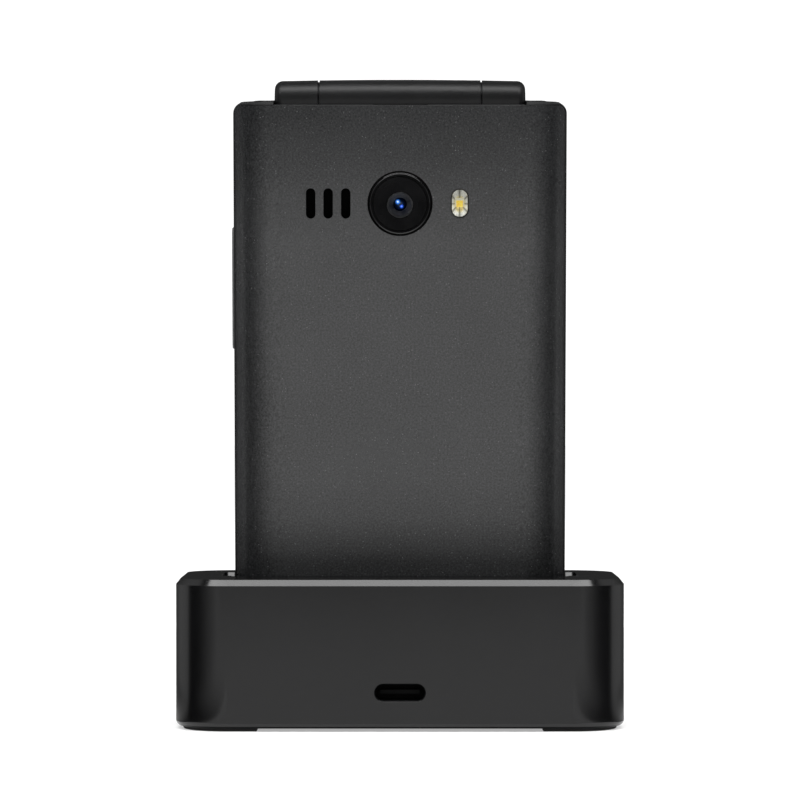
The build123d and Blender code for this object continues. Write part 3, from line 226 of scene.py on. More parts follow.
# rear cover paint: dark grey with mottled flake and sparse bright specks
def flake_paint(name, low, high, speck, rough=(0.42, 0.5), specks=0.62, ior=1.5, spec=0.5):
    k = Look(name).set(ior=ior, spec=spec)
    p = k.phone()
    mottle = k.noise(3000.0, 2.0, 0.7, vec=p)
    drift = k.noise(55.0, 3.0, 0.6, vec=p)
    tone = k.math("ADD", k.math("MULTIPLY", mottle, 0.75), k.math("MULTIPLY", drift, 0.25))
    body = k.ramp(tone, [(0.32, low), (0.5, tuple((a + b) / 2 for a, b in zip(low, high))), (0.68, high)])
    near = k.voronoi(1900.0, vec=p)
    pick = k.xyz(k.voronoi(1900.0, vec=p, out="Color"))[0]
    spot = k.math("MULTIPLY", k.remap(near, 0.17, 0.08), k.remap(pick, specks, specks + 0.25))
    fine_near = k.voronoi(3600.0, vec=p)
    fine_pick = k.xyz(k.voronoi(3600.0, vec=p, out="Color"))[1]
    dust = k.math("MULTIPLY", k.remap(fine_near, 0.3, 0.12), k.remap(fine_pick, 0.6, 1.0, 0.0, 0.35))
    k.color(k.mix(k.math("MAXIMUM", spot, dust), body, speck))
    drag = k.remap(k.noise(34.0, 4.0, 0.6, vec=p), 0.3, 0.7, *rough)
    k.rough(k.math("ADD", drag, k.remap(k.xyz(p)[2], 102.25 * MM, 102.33 * MM, 0.0, 0.3)))
    k.bump(k.noise(3000.0, 2.0, 0.6, vec=p), 3.5e-6)
    # the gloss is turned down towards both ends and on the rolled sides as painted shade, and it is uneven between the
    # flakes
    lx, ly, lz = k.xyz(p)
    painted_end_shade = k.ramp(k.remap(lz, 24.0 * MM, 102.0 * MM), [(q, (v,) * 3) for q, v in PAINTED_SHADE_ENDS])
    painted_side_shade = k.remap(k.math("ABSOLUTE", lx), 26.0 * MM, 27.3 * MM, 1.0, 0.36)
    uneven = k.remap(mottle, 0.3, 0.7, 0.84, 1.16)
    k.link(k.math("MULTIPLY", k.math("MULTIPLY", painted_end_shade, painted_side_shade), uneven), k.bsdf.inputs["Specular IOR Level"])
    return k

# steps of the painted shade along the cover, from bottom to top
PAINTED_SHADE_ENDS = [(0.0, 0.20), (0.051, 0.28), (0.103, 0.42), (0.186, 0.50), (0.359, 0.52), (0.538, 0.55), (0.705, 0.60), (0.808, 0.48), (0.885, 0.34), (0.99, 0.20)]
M["cover_paint"] = flake_paint("cover_paint", (0.0020, 0.0021, 0.0023), (0.0210, 0.0217, 0.0228), (0.13, 0.13, 0.133), rough=(0.26, 0.31), ior=1.68)
M["lid_paint"] = satin("lid_paint", (0.0055, 0.0056, 0.0059), (0.0085, 0.0086, 0.0091), rough=(0.34, 0.40), grain=3400.0, depth=2.5e-6, ior=1.32)
M["frame_plastic"] = satin("frame_plastic", (0.0055, 0.0056, 0.0059), (0.0085, 0.0086, 0.0091), rough=(0.34, 0.40), grain=3400.0, depth=2.5e-6, ior=1.32)

k = M["frame_plastic"]
fx, fy, fz = k.xyz(k.phone())
# the shoulder band above the rear cover is coloured lighter and glossier than the frame: painted light over the shade
# in the gap
shoulder_painted_light = k.math("MULTIPLY", k.remap(fz, 101.9 * MM, 102.2 * MM), k.remap(fy, 6.0 * MM, 5.4 * MM))
k.link(k.remap(shoulder_painted_light, 0.0, 1.0, 0.5, 0.9), k.bsdf.inputs["Specular IOR Level"])
k.color(k.mix(shoulder_painted_light, k.bsdf.inputs["Base Color"].links[0].from_socket, (0.021, 0.0214, 0.022)))

k = satin("fascia_plastic", (0.006, 0.006, 0.0065), (0.010, 0.010, 0.011), rough=(0.22, 0.3), grain=2400.0, depth=1.6e-6)
M["fascia_plastic"] = k
k = satin("rocker_plastic", (0.07, 0.071, 0.073), (0.11, 0.111, 0.114), rough=(0.3, 0.38), grain=2600.0, depth=2e-6)
M["rocker_plastic"] = k
k = satin("key_plastic", (0.016, 0.0165, 0.0175), (0.026, 0.0265, 0.028), rough=(0.3, 0.4), grain=2200.0, depth=3e-6)
M["key_plastic"] = k
# the insulator is coloured near black, as painted shade for the charging inlet's tongue
k = satin("insulator", (0.0012, 0.0012, 0.0012), (0.003, 0.003, 0.003), rough=(0.45, 0.6), grain=2800.0, depth=4e-6, ior=1.14)
M["insulator"] = k
k = satin("camera_black", (0.026, 0.0255, 0.0265), (0.043, 0.0425, 0.0435), ior=1.4, rough=(0.42, 0.55), grain=3200.0, depth=1e-6)
M["camera_black"] = k

# metals
M["steel"] = metal("steel", (0.42, 0.42, 0.43), (0.62, 0.62, 0.63))
M["dark_steel"] = metal("dark_steel", (0.010, 0.010, 0.0105), (0.022, 0.022, 0.023), rough=(0.4, 0.55))
# the USB shell's steel is coloured near black: painted shade inside the charging inlet
M["usb_steel"] = metal("usb_steel", (0.012, 0.012, 0.0125), (0.03, 0.03, 0.031), rough=(0.35, 0.5))
M["gold_contact"] = metal("gold_contact", (0.72, 0.47, 0.14), (0.9, 0.66, 0.27), rough=(0.18, 0.3), brush=(900, 900, 900))

# circuit boards: copper under solder mask, vias and pads
k = Look("board").set(ior=1.5, coat=0.4, coat_rough=0.15)
lines = k.math("PINGPONG", k.math("MULTIPLY", k.xyz(k.moved(k.coord, scale=(1, 1, 1)))[0], 900.0), 0.5)
wob = k.noise(240.0, 2.0)
tracks = k.remap(k.math("ADD", lines, k.math("MULTIPLY", wob, 0.35)), 0.42, 0.5, smooth=True)
via = k.remap(k.voronoi(420.0), 0.14, 0.09)
mask = k.mix(tracks, (0.004, 0.045, 0.022), (0.008, 0.085, 0.04))
k.color(k.mix(via, mask, (0.45, 0.34, 0.15)))
k.rough(k.remap(k.noise(300.0), 0.3, 0.7, 0.28, 0.42))
k.bump(k.math("ADD", tracks, via), 2.5e-5)
M["board"] = k

# dome sheet and display flex
k = Look("film").set(ior=1.5)
grid = k.voronoi(130.0, vec=k.phone())
dome = k.remap(grid, 0.42, 0.36)
k.color(k.mix(dome, k.ramp(k.noise(90.0), [(0.3, (0.50, 0.36, 0.14)), (0.7, (0.62, 0.47, 0.21))]), (0.62, 0.62, 0.6)))
k.rough(k.remap(k.noise(500.0), 0.3, 0.7, 0.25, 0.4))
k.bump(dome, 4e-5)
M["film"] = k

# pouch cell: crinkled dark foil
k = Look("battery_wrap").set(metal=0.55)
k.color(k.ramp(k.noise(70.0, 4.0), [(0.3, (0.05, 0.052, 0.056)), (0.7, (0.10, 0.103, 0.11))]))
k.rough(k.remap(k.noise(120.0, 4.0), 0.3, 0.7, 0.3, 0.48))
k.bump(k.noise(260.0, 4.0, 0.6), 4e-5)
M["battery_wrap"] = k

# loudspeaker and earpiece bodies
k = Look("speaker_body").set(metal=0.3)
k.color(k.ramp(k.noise(220.0, 3.0), [(0.3, (0.016, 0.016, 0.017)), (0.7, (0.034, 0.034, 0.036))]))
k.rough(k.remap(k.noise(300.0), 0.3, 0.7, 0.35, 0.5))
k.bump(k.voronoi(900.0), 2e-5)
M["speaker_body"] = k

# black cloth behind the speaker slots, coloured darker than any cloth: painted shade in the slots
k = Look("mesh_cloth").set(spec=0.05)
wx, wy, wz = k.xyz(k.phone())
weave = k.math("MULTIPLY",
               k.math("PINGPONG", k.math("MULTIPLY", wx, 9000.0), 0.5),
               k.math("PINGPONG", k.math("MULTIPLY", wz, 9000.0), 0.5))
k.color(k.ramp(weave, [(0.0, (0.0001, 0.0001, 0.0001)), (0.25, (0.0006, 0.0006, 0.0006))]))
k.rough(k.remap(weave, 0.0, 0.25, 0.95, 0.8))
k.bump(weave, 3e-5)
M["mesh_cloth"] = k

# camera bezel: piano black
k = Look("bezel_gloss").set(ior=1.22)
k.color(k.ramp(k.noise(200.0), [(0.3, (0.0010, 0.0010, 0.0011)), (0.7, (0.0018, 0.0018, 0.0020))]))
k.rough(k.remap(k.noise(420.0, 3.0), 0.3, 0.7, 0.08, 0.12))
k.bump(k.noise(900.0, 2.0), 6e-7)
# the turned edge is polished brighter than the flat; its coat is strongest at the top and faint lower down, a painted
# highlight that follows the overhead light
bx, by, bz = k.xyz(k.moved(k.phone(), loc=(0, 0, -CAM_Z * MM)))
turned = k.math("SQRT", k.math("ADD", k.math("MULTIPLY", bx, bx), k.math("MULTIPLY", bz, bz)))
k.set(coat_rough=0.14, coat_ior=2.1)
band = k.math("MULTIPLY", k.remap(turned, 4.98 * MM, 5.03 * MM), k.remap(turned, 5.2 * MM, 5.1 * MM))
painted_top_gloss = k.math("ADD", k.remap(bz, 3.0 * MM, 4.6 * MM, 0.1, 1.0), k.remap(bz, -2.6 * MM, -4.2 * MM, 0.0, 0.35))
k.link(k.math("MULTIPLY", band, painted_top_gloss), k.bsdf.inputs["Coat Weight"])
M["bezel_gloss"] = k

# camera cover glass: black printed back with a clear round window
k = Look("cover_glass").set(ior=1.22)
k.color(k.ramp(k.noise(160.0), [(0.3, (0.0024, 0.0024, 0.0026)), (0.7, (0.0036, 0.0036, 0.0039))]))
k.rough(k.remap(k.noise(320.0, 3.0), 0.3, 0.7, 0.07, 0.13))
k.bump(k.noise(700.0, 2.0), 4e-7)
px, py, pz = k.xyz(k.moved(k.phone(), loc=(0, 0, -(CAM_Z - LENS_DROP) * MM)))
rad = k.math("SQRT", k.math("ADD", k.math("MULTIPLY", px, px), k.math("MULTIPLY", pz, pz)))
window = k.remap(rad, 2.26 * MM, 2.18 * MM)
clear = k.node("ShaderNodeBsdfTransparent")
clear.inputs["Color"].default_value = (0.97, 0.975, 0.98, 1)
shine = k.node("ShaderNodeBsdfGlossy")
shine.inputs["Roughness"].default_value = 0.04
shine.inputs["Color"].default_value = (0.6, 0.6, 0.64, 1)
pane = k.node("ShaderNodeMixShader")
k.link(k.pane_gloss(0.0098), pane.inputs[0])
k.link(clear.outputs[0], pane.inputs[1])
k.link(shine.outputs[0], pane.inputs[2])
both = k.node("ShaderNodeMixShader")
k.link(window, both.inputs[0])
k.link(k.bsdf.outputs[0], both.inputs[1])
k.link(pane.outputs[0], both.inputs[2])
k.link(both.outputs[0], k.out.inputs["Surface"])
M["cover_glass"] = k

# camera lens: dark coated dome with two painted glints that glow
k = Look("coated_lens").set(ior=1.6, coat=0.4, coat_rough=0.03, coat_ior=1.5)
lx, ly, lz = k.xyz(k.moved(k.phone(), loc=(0, 0, -(CAM_Z - LENS_DROP) * MM)))
lrad = k.math("SQRT", k.math("ADD", k.math("MULTIPLY", lx, lx), k.math("MULTIPLY", lz, lz)))
body = k.ramp(k.remap(lrad, 0.0, 1.15 * MM), [(0.0, (0.001, 0.002, 0.006)), (0.45, (0.002, 0.006, 0.022)), (0.8, (0.001, 0.002, 0.006)), (1.0, (0.001, 0.001, 0.001))])
# two painted glints, each a blue patch with a white or pale blue core, put in the colour and glowing through emission:
# painted highlights
for glint_x, glint_z, glint_r, tone in ((-0.38, 0.44, 0.52, (0.04, 0.25, 0.85)), (-0.38, 0.46, 0.24, (0.92, 0.98, 1.0)), (0.28, -0.34, 0.4, (0.02, 0.12, 0.8)), (0.3, -0.34, 0.14, (0.4, 0.55, 1.0))):
    ax = k.math("SUBTRACT", lx, glint_x * MM)
    az = k.math("SUBTRACT", lz, glint_z * MM)
    away = k.math("SQRT", k.math("ADD", k.math("MULTIPLY", ax, ax), k.math("MULTIPLY", az, az)))
    body = k.mix(k.remap(away, glint_r * MM, glint_r * 0.3 * MM, smooth=True), body, tone)
k.color(body)
k.link(body, k.bsdf.inputs["Emission Color"])
k.bsdf.inputs["Emission Strength"].default_value = 0.8
k.rough(k.remap(k.noise(900.0), 0.3, 0.7, 0.03, 0.06))
k.bump(k.noise(1500.0, 1.0), 1e-7)
k.bsdf.inputs["Specular Tint"].default_value = (0.35, 0.6, 1.0, 1)
k.bsdf.inputs["Coat Tint"].default_value = (0.5, 0.75, 1.0, 1)
M["coated_lens"] = k

# flash: clear fluted lens over a silver dish with a phosphor emitter; the dish carries painted shade, and the dish and
# the phosphor glow though the flash is not fired, painted light
k = Look("flash_clear")
flute = k.math("PINGPONG", k.math("MULTIPLY", k.xyz(k.phone())[2], 2600.0), 0.5)
clear = k.node("ShaderNodeBsdfTransparent")
clear.inputs["Color"].default_value = (0.96, 0.965, 0.95, 1)
shine = k.node("ShaderNodeBsdfGlossy")
shine.inputs["Roughness"].default_value = 0.12
pane = k.node("ShaderNodeMixShader")
k.link(k.pane_gloss(0.028), pane.inputs[0])
k.link(clear.outputs[0], pane.inputs[1])
k.link(shine.outputs[0], pane.inputs[2])
fb = k.node("ShaderNodeBump")
fb.inputs["Distance"].default_value = 6e-6
k.link(flute, fb.inputs["Height"])
k.link(fb.outputs["Normal"], shine.inputs["Normal"])
ex, ey, ez = k.xyz(k.moved(k.phone(), loc=(-FLASH_X * MM, 0, -CAM_Z * MM)))
over = k.math("MAXIMUM", k.math("SUBTRACT", k.math("ABSOLUTE", ez), 0.98 * MM), 0.0)
span = k.math("SQRT", k.math("ADD", k.math("MULTIPLY", ex, ex), k.math("MULTIPLY", over, over)))
k.set(rough=0.5, spec=0.2)
k.color(k.ramp(k.noise(900.0), [(0.3, (0.006, 0.006, 0.006)), (0.7, (0.012, 0.012, 0.012))]))
trim = k.node("ShaderNodeMixShader")
k.link(k.remap(span, 1.3 * MM, 1.4 * MM), trim.inputs[0])
k.link(pane.outputs[0], trim.inputs[1])
k.link(k.bsdf.outputs[0], trim.inputs[2])
k.link(trim.outputs[0], k.out.inputs["Surface"])
M["flash_clear"] = k

k = Look("reflector").set(metal=0.55, ior=1.5)
qx, qy, qz = k.xyz(k.moved(k.phone(), loc=(-FLASH_X * MM, 0, -(CAM_Z - 0.2) * MM)))
off = k.math("SQRT", k.math("ADD", k.math("MULTIPLY", k.math("MULTIPLY", qx, qx), 1.0), k.math("MULTIPLY", k.math("MULTIPLY", qz, qz), 0.5)))
silver = k.ramp(k.noise(600.0, 3.0), [(0.3, (0.74, 0.74, 0.72)), (0.7, (0.88, 0.88, 0.86))])
warm = k.ramp(k.noise(900.0, 2.0), [(0.3, (0.62, 0.52, 0.22)), (0.7, (0.72, 0.62, 0.30))])
turn = k.math("DIVIDE", k.math("ARCTAN2", qx, qz), 2 * math.pi)
crease = k.math("PINGPONG", k.math("MULTIPLY", turn, 8.0), 0.5)
# the dish's colour is painted darker in eight creases and across its top: painted shade
painted_crease_shade = k.math("MULTIPLY", k.remap(crease, 0.0, 0.24, 0.12, 1.0), k.remap(qz, 0.6 * MM, -0.8 * MM, 0.72, 1.0, smooth=True))
tone = k.mix(k.remap(off, 0.75 * MM, 1.2 * MM, smooth=True), warm, silver)
silver_with_painted_light = k.mix(painted_crease_shade, (0.10, 0.095, 0.07), tone)
k.color(silver_with_painted_light)
# the dish glows in its own colour, more towards the bottom: painted light
k.link(silver_with_painted_light, k.bsdf.inputs["Emission Color"])
k.link(k.remap(qz, 1.6 * MM, -2.0 * MM, 0.26, 0.6), k.bsdf.inputs["Emission Strength"])
k.rough(k.remap(k.noise(900.0), 0.3, 0.7, 0.34, 0.42))
k.bump(k.noise(1400.0, 2.0), 6e-6)
M["reflector"] = k

k = Look("phosphor").set(ior=1.5)
gel = k.ramp(k.noise(2600.0, 3.0), [(0.3, (0.80, 0.50, 0.02)), (0.7, (0.98, 0.74, 0.10))])
qx, qy, qz = k.xyz(k.moved(k.phone(), loc=(-FLASH_X * MM, 0, -(CAM_Z - 0.2) * MM)))
edge = k.math("MAXIMUM", k.math("ABSOLUTE", qx), k.math("ABSOLUTE", qz))
phosphor_colour_and_glow = k.mix(k.remap(edge, 0.48 * MM, 0.68 * MM, smooth=True), gel, (0.55, 0.52, 0.40))
k.color(phosphor_colour_and_glow)
# the phosphor glows though the flash is not fired: painted light
k.link(phosphor_colour_and_glow, k.bsdf.inputs["Emission Color"])
k.bsdf.inputs["Emission Strength"].default_value = 0.5
k.rough(k.remap(k.noise(1800.0), 0.3, 0.7, 0.35, 0.5))
k.bump(k.noise(3200.0, 3.0), 1.2e-5)
M["phosphor"] = k

# black-backed display glass and the panels behind it
k = Look("window_glass").set(ior=1.5)
k.color(k.ramp(k.noise(60.0, 3.0), [(0.3, (0.0020, 0.0020, 0.0023)), (0.7, (0.0034, 0.0034, 0.0038))]))
k.rough(k.remap(k.noise(28.0, 4.0, 0.65, distortion=0.4), 0.3, 0.72, 0.035, 0.085))
k.bump(k.noise(600.0, 2.0), 2.5e-7)
M["window_glass"] = k

k = Look("display_panel").set(ior=1.5, coat=0.5, coat_rough=0.1)
sx, sy, sz = k.xyz(k.phone())
stripes = k.math("PINGPONG", k.math("MULTIPLY", sx, 6000.0), 0.5)
k.color(k.ramp(stripes, [(0.0, (0.010, 0.010, 0.014)), (0.25, (0.006, 0.012, 0.010)), (0.5, (0.014, 0.008, 0.008))]))
k.rough(k.remap(k.noise(300.0), 0.3, 0.7, 0.18, 0.28))
k.bump(stripes, 3e-6)
M["display_panel"] = k

# printed legends
def ink(name, a, b):
    k = Look(name).set(ior=1.45)
    k.color(k.ramp(k.noise(1500.0, 3.0), [(0.3, a), (0.7, b)]))
    k.rough(k.remap(k.noise(800.0), 0.3, 0.7, 0.42, 0.56))
    k.bump(k.noise(4200.0, 2.0), 2e-6)
    return k

M["ink_white"] = ink("ink_white", (0.62, 0.62, 0.62), (0.74, 0.74, 0.74))
M["ink_grey"] = ink("ink_grey", (0.30, 0.30, 0.31), (0.38, 0.38, 0.39))
M["ink_green"] = ink("ink_green", (0.02, 0.33, 0.06), (0.04, 0.44, 0.09))
M["ink_red"] = ink("ink_red", (0.50, 0.02, 0.02), (0.64, 0.04, 0.03))

LOOKS = {
    "cradle_plastic": ["cradle_shell", "cradle_base_plate"],
    "foot_rubber": ["cradle_feet"],
    "bumper_rubber": ["lid_bumpers"],
    "steel": ["cradle_screws", "base_screws", "cradle_ballast", "sim_holder", "vibration_motor"],
    "dark_steel": ["hinge_module", "hinge_pin"],
    "usb_steel": ["cradle_usb_shell", "usb_port"],
    "insulator": ["cradle_usb_tongue", "pin_block"],
    "board": ["cradle_pcb", "main_pcb"],
    "gold_contact": ["charge_pins", "contact_pads"],
    "cover_paint": ["rear_cover"],
    "lid_paint": ["lid_shell"],
    "frame_plastic": ["base_frame"],
    "fascia_plastic": ["keypad_fascia", "lid_fascia"],
    "film": ["dome_sheet", "hinge_flex"],
    "battery_wrap": ["battery"],
    "speaker_body": ["loudspeaker", "earpiece"],
    "mesh_cloth": ["speaker_mesh"],
    "bezel_gloss": ["camera_ring"],
    "camera_black": ["camera_module"],
    "cover_glass": ["camera_glass"],
    "coated_lens": ["camera_lens"],
    "flash_clear": ["flash_lens"],
    "reflector": ["flash_reflector"],
    "phosphor": ["flash_led"],
    "window_glass": ["lid_window", "display_glass"],
    "display_panel": ["main_display", "outer_display"],
    "rocker_plastic": ["volume_key"],
    "key_plastic": [n for n in sorted(NODES) if n.startswith("key_")] + ["nav_ring", "nav_ok"],
}
for look, names in LOOKS.items():
    for n in names:
        NODES[n].data.materials.clear()
        NODES[n].data.materials.append(M[look].mat)


# ------------------------------------------------------------------ printed legends on the keys
FACE = Matrix(((-1, 0, 0, 0), (0, 0, 1, 0), (0, 1, 0, 0), (0, 0, 0, 1)))   # sheet x to -X, sheet y to +Z, out of the sheet to +Y
PRINT = 0.012 * MM


def on_key(kx, kz):
    return SEAT @ Matrix.Translation((kx * MM, (KEY_TOP * MM), kz * MM)) @ FACE


def plate(name, bm, body, look, matrix):
    bmesh.ops.remove_doubles(bm, verts=bm.verts, dist=1e-7)
    bmesh.ops.recalc_face_normals(bm, faces=bm.faces)
    bm.transform(matrix)
    me = bpy.data.meshes.new(name)
    bm.to_mesh(me)
    bm.free()
    me.materials.append(M[look].mat)
    ob = bpy.data.objects.new(name, me)
    bpy.context.scene.collection.objects.link(ob)
    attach(ob, body)
    return ob


def text_plate(name, body_text, size, body, look, kx, kz, dx=0.0, dy=0.0, bold=0.0):
    cu = bpy.data.curves.new(name + "_curve", "FONT")
    cu.body = body_text
    cu.size = size * MM
    cu.align_x = "CENTER"
    cu.align_y = "CENTER"
    cu.extrude = PRINT / 2
    cu.offset = bold * MM
    cu.resolution_u = 6
    cu.space_character = 1.08
    tmp = bpy.data.objects.new(name + "_tmp", cu)
    bpy.context.scene.collection.objects.link(tmp)
    bpy.context.view_layer.update()
    me = tmp.evaluated_get(bpy.context.evaluated_depsgraph_get()).to_mesh()
    bm = bmesh.new()
    bm.from_mesh(me)
    tmp.to_mesh_clear()
    bpy.data.objects.remove(tmp)
    bpy.data.curves.remove(cu)
    xs = [v.co.x for v in bm.verts]
    ys = [v.co.y for v in bm.verts]
    cx, cy = (min(xs) + max(xs)) / 2, (min(ys) + max(ys)) / 2
    for v in bm.verts:
        v.co = Vector((v.co.x - cx + dx * MM, v.co.y - cy + dy * MM, v.co.z + PRINT / 2))
    return plate(name, bm, body, look, on_key(kx, kz))


def polygon_plate(name, loops, body, look, kx, kz):
    bm = bmesh.new()
    for pts in loops:
        low = [bm.verts.new((x * MM, y * MM, 0)) for x, y in pts]
        top = [bm.verts.new((x * MM, y * MM, PRINT)) for x, y in pts]
        bm.faces.new(low[::-1])
        bm.faces.new(top)
        for i in range(len(pts)):
            j = (i + 1) % len(pts)
            bm.faces.new((low[i], low[j], top[j], top[i]))
    return plate(name, bm, body, look, on_key(kx, kz))


NUM_X = {0: 16.6, 1: 0.0, 2: -16.6}
LETTERS = {"2": "ABC", "3": "DEF", "4": "GHI", "5": "JKL", "6": "MNO", "7": "PQRS", "8": "TUV", "9": "WXYZ"}
ROWS = [["star", "0", "hash"], ["7", "8", "9"], ["4", "5", "6"], ["1", "2", "3"]]
for r, row in enumerate(ROWS):
    for c, label in enumerate(row):
        node = "key_" + label
        kx, kz = NUM_X[c], 13.6 + 12.4 * r
        glyph = {"star": "*", "hash": "#"}.get(label, label)
        if label in LETTERS:
            text_plate(node + "_digit", glyph, 6.6, node, "ink_white", kx, kz, dx=-3.5, bold=0.0 if glyph == "4" else 0.06)
            text_plate(node + "_letters", LETTERS[label], 2.3 if len(LETTERS[label]) > 3 else 2.7, node, "ink_grey", kx, kz, dx=2.7, dy=-0.1, bold=0.0)
        else:
            text_plate(node + "_digit", glyph, 6.6 if label != "star" else 9.0, node, "ink_white", kx, kz, bold=0.06)


def handset(turn):
    """Outline of a telephone handset, turned about its middle."""
    outer = [(3.1 * math.cos(math.radians(155 - i * 130 / 24)), 3.1 * math.sin(math.radians(155 - i * 130 / 24)) - 1.5) for i in range(25)]
    inner = [(1.75 * math.cos(math.radians(35 + i * 110 / 20)), 1.75 * math.sin(math.radians(35 + i * 110 / 20)) - 1.2) for i in range(21)]
    right = [(3.35, -0.55), (3.2, -1.35), (1.75, -1.35), (1.6, -0.55)]
    left = [(-1.6, -0.55), (-1.75, -1.35), (-3.2, -1.35), (-3.35, -0.55)]
    ring = outer + right + inner + left
    ca, sa = math.cos(turn), math.sin(turn)
    return [(x * ca - y * sa, x * sa + y * ca) for x, y in ring]


polygon_plate("key_call_icon", [handset(math.radians(50))], "key_call", "ink_green", CALL_X, CALL_Z)
polygon_plate("key_end_icon", [handset(0.0)], "key_end", "ink_red", -CALL_X, CALL_Z)
for side, sx in (("left", CALL_X), ("right", -CALL_X)):
    dash = [(-1.7, -0.22), (1.7, -0.22), (1.7, 0.22), (-1.7, 0.22)]
    polygon_plate("key_soft_" + side + "_icon", [dash], "key_soft_" + side, "ink_white", sx, SOFT_Z)
chev = []
for a in range(4):
    t = math.radians(90 * a)
    tri = [(0.0, 10.0), (-0.95, 8.75), (0.95, 8.75)]
    chev.append([(x * math.cos(t) - y * math.sin(t), x * math.sin(t) + y * math.cos(t)) for x, y in tri])
polygon_plate("nav_ring_arrows", chev, "nav_ring", "ink_grey", 0.0, NAV_Z)
text_plate("nav_ok_text", "OK", 3.4, "nav_ok", "ink_white", 0.0, NAV_Z, bold=0.05)

# ------------------------------------------------------------------ pleated flash reflector
def pill(t, w, h):
    """Point on an upright slot outline of half width w and half height h, in direction t."""
    c, q = math.cos(t), math.sin(t)
    if abs(c) > 1e-9 and abs(w / abs(c) * q) <= h - w:
        r = w / abs(c)
    else:
        d = (h - w) * (1 if q >= 0 else -1)
        r = q * d + math.sqrt(max(0.0, (q * d) ** 2 - d * d + w * w))
    return r * c, r * q


def square(t, a):
    r = a / max(abs(math.cos(t)), abs(math.sin(t)))
    return r * math.cos(t), r * math.sin(t)


STEPS, PLEATS = 160, 20
bm = bmesh.new()
rings = []
W0, H0 = 1.65, 2.63
for name, depth, grow in (("rim", 1.56, 0.42), ("lip", 1.56, 0.0), ("lip2", 1.62, 0.0)):
    rings.append([bm.verts.new(((p := pill(2 * math.pi * i / STEPS, W0 + grow, H0 + grow))[0] * MM, depth * MM, p[1] * MM)) for i in range(STEPS)])
for j in range(1, 11):
    f = j / 10
    ring = []
    for i in range(STEPS):
        t = 2 * math.pi * i / STEPS
        ox, oz = pill(t, W0, H0)
        ix, iz = square(t, 0.8)
        fold = abs(((i * PLEATS / STEPS) % 1.0) * 2 - 1) - 0.5
        depth = 1.62 + 1.2 * math.sin(f * math.pi / 2) ** 1.2 + 0.24 * fold * math.sin(min(1.0, f * 1.15) * math.pi)
        ring.append(bm.verts.new(((ox + (ix - ox) * f) * MM, depth * MM, (oz + (iz - oz) * f) * MM)))
    rings.append(ring)
rings.append([bm.verts.new(((p := square(2 * math.pi * i / STEPS, 0.8))[0] * MM, 4.14 * MM, p[1] * MM)) for i in range(STEPS)])
rings.append([bm.verts.new(((p := pill(2 * math.pi * i / STEPS, W0 + 0.42, H0 + 0.42))[0] * MM, 4.14 * MM, p[1] * MM)) for i in range(STEPS)])
for a, b in zip(rings, rings[1:] + rings[:1]):
    for i in range(STEPS):
        j = (i + 1) % STEPS
        bm.faces.new((a[i], a[j], b[j], b[i]))
bmesh.ops.recalc_face_normals(bm, faces=bm.faces)
bm.transform(SEAT @ Matrix.Translation((FLASH_X * MM, 0, CAM_Z * MM)))
me = bpy.data.meshes.new("flash_reflector_pleated")
bm.to_mesh(me)
bm.free()
me.materials.append(M["reflector"].mat)
ob = bpy.data.objects.new("flash_reflector_pleated", me)
bpy.context.scene.collection.objects.link(ob)
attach(ob, "phone_base")
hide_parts("flash_reflector")

# ------------------------------------------------------------------ stage, light, camera
def plane(name, size_x, size_y, matrix):
    me = bpy.data.meshes.new(name)
    hx, hy = size_x / 2, size_y / 2
    me.from_pydata([(-hx, -hy, 0), (hx, -hy, 0), (hx, hy, 0), (-hx, hy, 0)], [], [(0, 1, 2, 3)])
    ob = bpy.data.objects.new(name, me)
    ob.matrix_world = matrix
    bpy.context.scene.collection.objects.link(ob)
    return ob


floor = plane("floor", 8, 8, Matrix.Translation((0, 0, 0)))
# white paper floor: where the object stands it is greyer and glows a little, painted light that lifts the contact
# shadow
k = Look("floor_paper").set(spec=0.0)
fx, fy, fz = k.xyz(k.coord)
away = k.math("SQRT", k.math("ADD", k.math("MULTIPLY", fx, fx), k.math("MULTIPLY", fy, fy)))
near = k.remap(away, 0.05, 0.15, 1.0, 0.0, smooth=True)
paper = k.ramp(k.noise(3.0, 3.0), [(0.3, (0.88, 0.88, 0.88)), (0.7, (0.90, 0.90, 0.90))])
k.color(k.mix(near, paper, (0.62, 0.62, 0.62)))
k.bsdf.inputs["Emission Color"].default_value = (1, 1, 1, 1)
k.link(k.math("MULTIPLY", near, 0.4), k.bsdf.inputs["Emission Strength"])
k.rough(k.remap(k.noise(40.0), 0.3, 0.7, 0.85, 0.95))
floor.data.materials.append(k.mat)

def card(name, stops, size_x, size_y, matrix, axis=2):
    """A studio card that only the gloss sees: its glow is even, or runs along one axis, up its height unless told otherwise, in the steps given."""
    f = plane(name, size_x, size_y, matrix)
    f.visible_camera = f.visible_diffuse = f.visible_shadow = f.visible_transmission = False
    look = Look(name + "_paper")
    look.tree.nodes.remove(look.bsdf)
    glow = look.node("ShaderNodeEmission")
    if isinstance(stops, float):
        glow.inputs["Strength"].default_value = stops
    else:
        first, last = stops[0][0], stops[-1][0]
        along = look.remap(look.xyz(look.node("ShaderNodeNewGeometry").outputs["Position"])[axis], first, last)
        look.link(look.ramp(along, [((p - first) / (last - first), (v,) * 3) for p, v in stops]), glow.inputs["Color"])
    look.link(glow.outputs[0], look.out.inputs["Surface"])
    f.data.materials.append(look.mat)
    return f


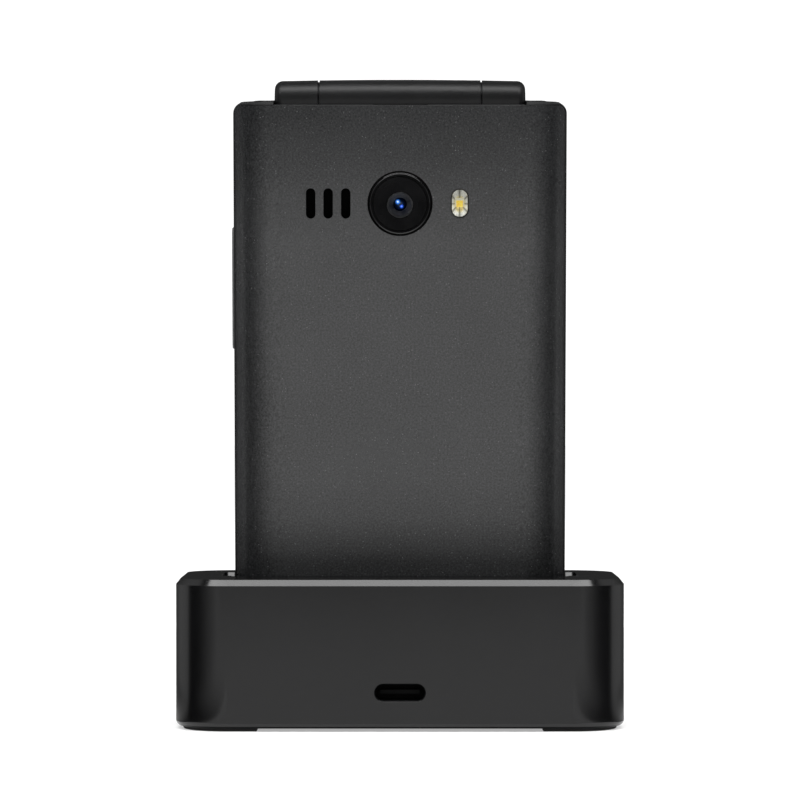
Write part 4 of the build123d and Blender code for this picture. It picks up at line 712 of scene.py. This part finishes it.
UPRIGHT_X = Matrix.Rotation(math.radians(90), 4, "Y")     # a card facing +X and -X, its first side vertical
UPRIGHT_Y = Matrix.Rotation(math.radians(90), 4, "X")     # a card facing +Y and -Y
FLAG = [(-0.20, 0.9), (-0.15, 0.72), (-0.092, 0.42), (-0.070, 0.22), (-0.053, 0.08), (-0.036, 0.01), (-0.018, 0.02), (-0.008, 0.35)]
SIDE = [(-0.008, 0.55), (0.003, 0.58), (0.024, 0.42), (0.063, 0.17), (0.12, 0.06), (0.262, 0.03)]
for side, x in (("left", -0.10), ("right", 0.10)):
    card("flag_" + side, FLAG, 0.14, 0.192, Matrix.Translation((x, -0.104, 0.07)) @ UPRIGHT_X, axis=1)
    card("side_card_" + side, SIDE, 0.34, 0.27, Matrix.Translation((x, 0.127, 0.17)) @ UPRIGHT_X, axis=1)
card("front_card", [(0.0, 0.5), (0.06, 0.7), (0.11, 1.4), (0.22, 1.6), (0.29, 0.4), (0.33, 0.02), (0.42, 0.02)], 2.4, 0.42, Matrix.Translation((0, -0.6, 0.21)) @ UPRIGHT_Y)
FLOOR_GLOW = [(-0.60, 0.0), (-0.52, 0.0), (-0.46, 0.3), (-0.39, 0.98), (-0.10, 0.98)]
FLOOR_SIDE = [(-0.10, 0.8), (-0.087, 0.72), (-0.055, 0.42), (-0.043, 0.22), (-0.034, 0.08), (-0.025, 0.01), (-0.015, 0.02), (-0.010, 0.3), (-0.004, 0.46), (0.0075, 0.36), (0.03, 0.14), (0.12, 0.05), (0.262, 0.03)]
card("floor_card", FLOOR_GLOW, 1.2, 0.5, Matrix.Translation((0, -0.35, 0.0008)), axis=1)
card("floor_card_near", 0.98, 0.072, 0.079, Matrix.Translation((0, -0.0605, 0.0008)))
for side, x in (("left", -0.069), ("right", 0.069)):
    card("floor_card_" + side, FLOOR_SIDE, 0.060, 0.362, Matrix.Translation((x, 0.081, 0.0008)), axis=1)
card("rear_card", 0.03, 0.9, 0.36, Matrix.Translation((0, 0.3, 0.18)) @ UPRIGHT_Y)


def area(name, loc, target, sx, sy, radiance, color=(1, 1, 1)):
    li = bpy.data.lights.new(name, "AREA")
    li.shape = "RECTANGLE"
    li.size, li.size_y = sx, sy
    li.energy = radiance * math.pi * sx * sy
    li.color = color
    ob = bpy.data.objects.new(name, li)
    d = Vector(target) - Vector(loc)
    ob.matrix_world = Matrix.Translation(loc) @ d.to_track_quat("-Z", "Y").to_matrix().to_4x4()
    bpy.context.scene.collection.objects.link(ob)
    return ob


top = area("overhead_softbox", (0, -0.09, 0.45), (0, -0.089999, 0.0), 0.50, 0.14, 7.2)
top.visible_camera = False

back = area("back_panel", (0, 1.0, 0.72), (0, 0, 0.08), 1.8, 0.62, 0.5)
back.visible_camera = False

world = bpy.data.worlds.new("studio")
bpy.context.scene.world = world
world.use_nodes = True
bg = world.node_tree.nodes["Background"]
bg.inputs["Color"].default_value = (1, 1, 1, 1)
bg.inputs["Strength"].default_value = 1.15
world.cycles_visibility.glossy = False

cam = bpy.data.objects.new("camera", bpy.data.cameras.new("camera"))
bpy.context.scene.collection.objects.link(cam)
cam.location = (0, -0.6596, 0.05568)
cam.rotation_euler = (math.radians(90), 0, 0)
cam.data.lens = 171.81
cam.data.sensor_width = 36
cam.data.clip_start = 0.01
cam.data.clip_end = 50
bpy.context.scene.camera = cam
bpy.context.scene.view_settings.view_transform = "Standard"
bpy.context.scene.view_settings.look = "None"
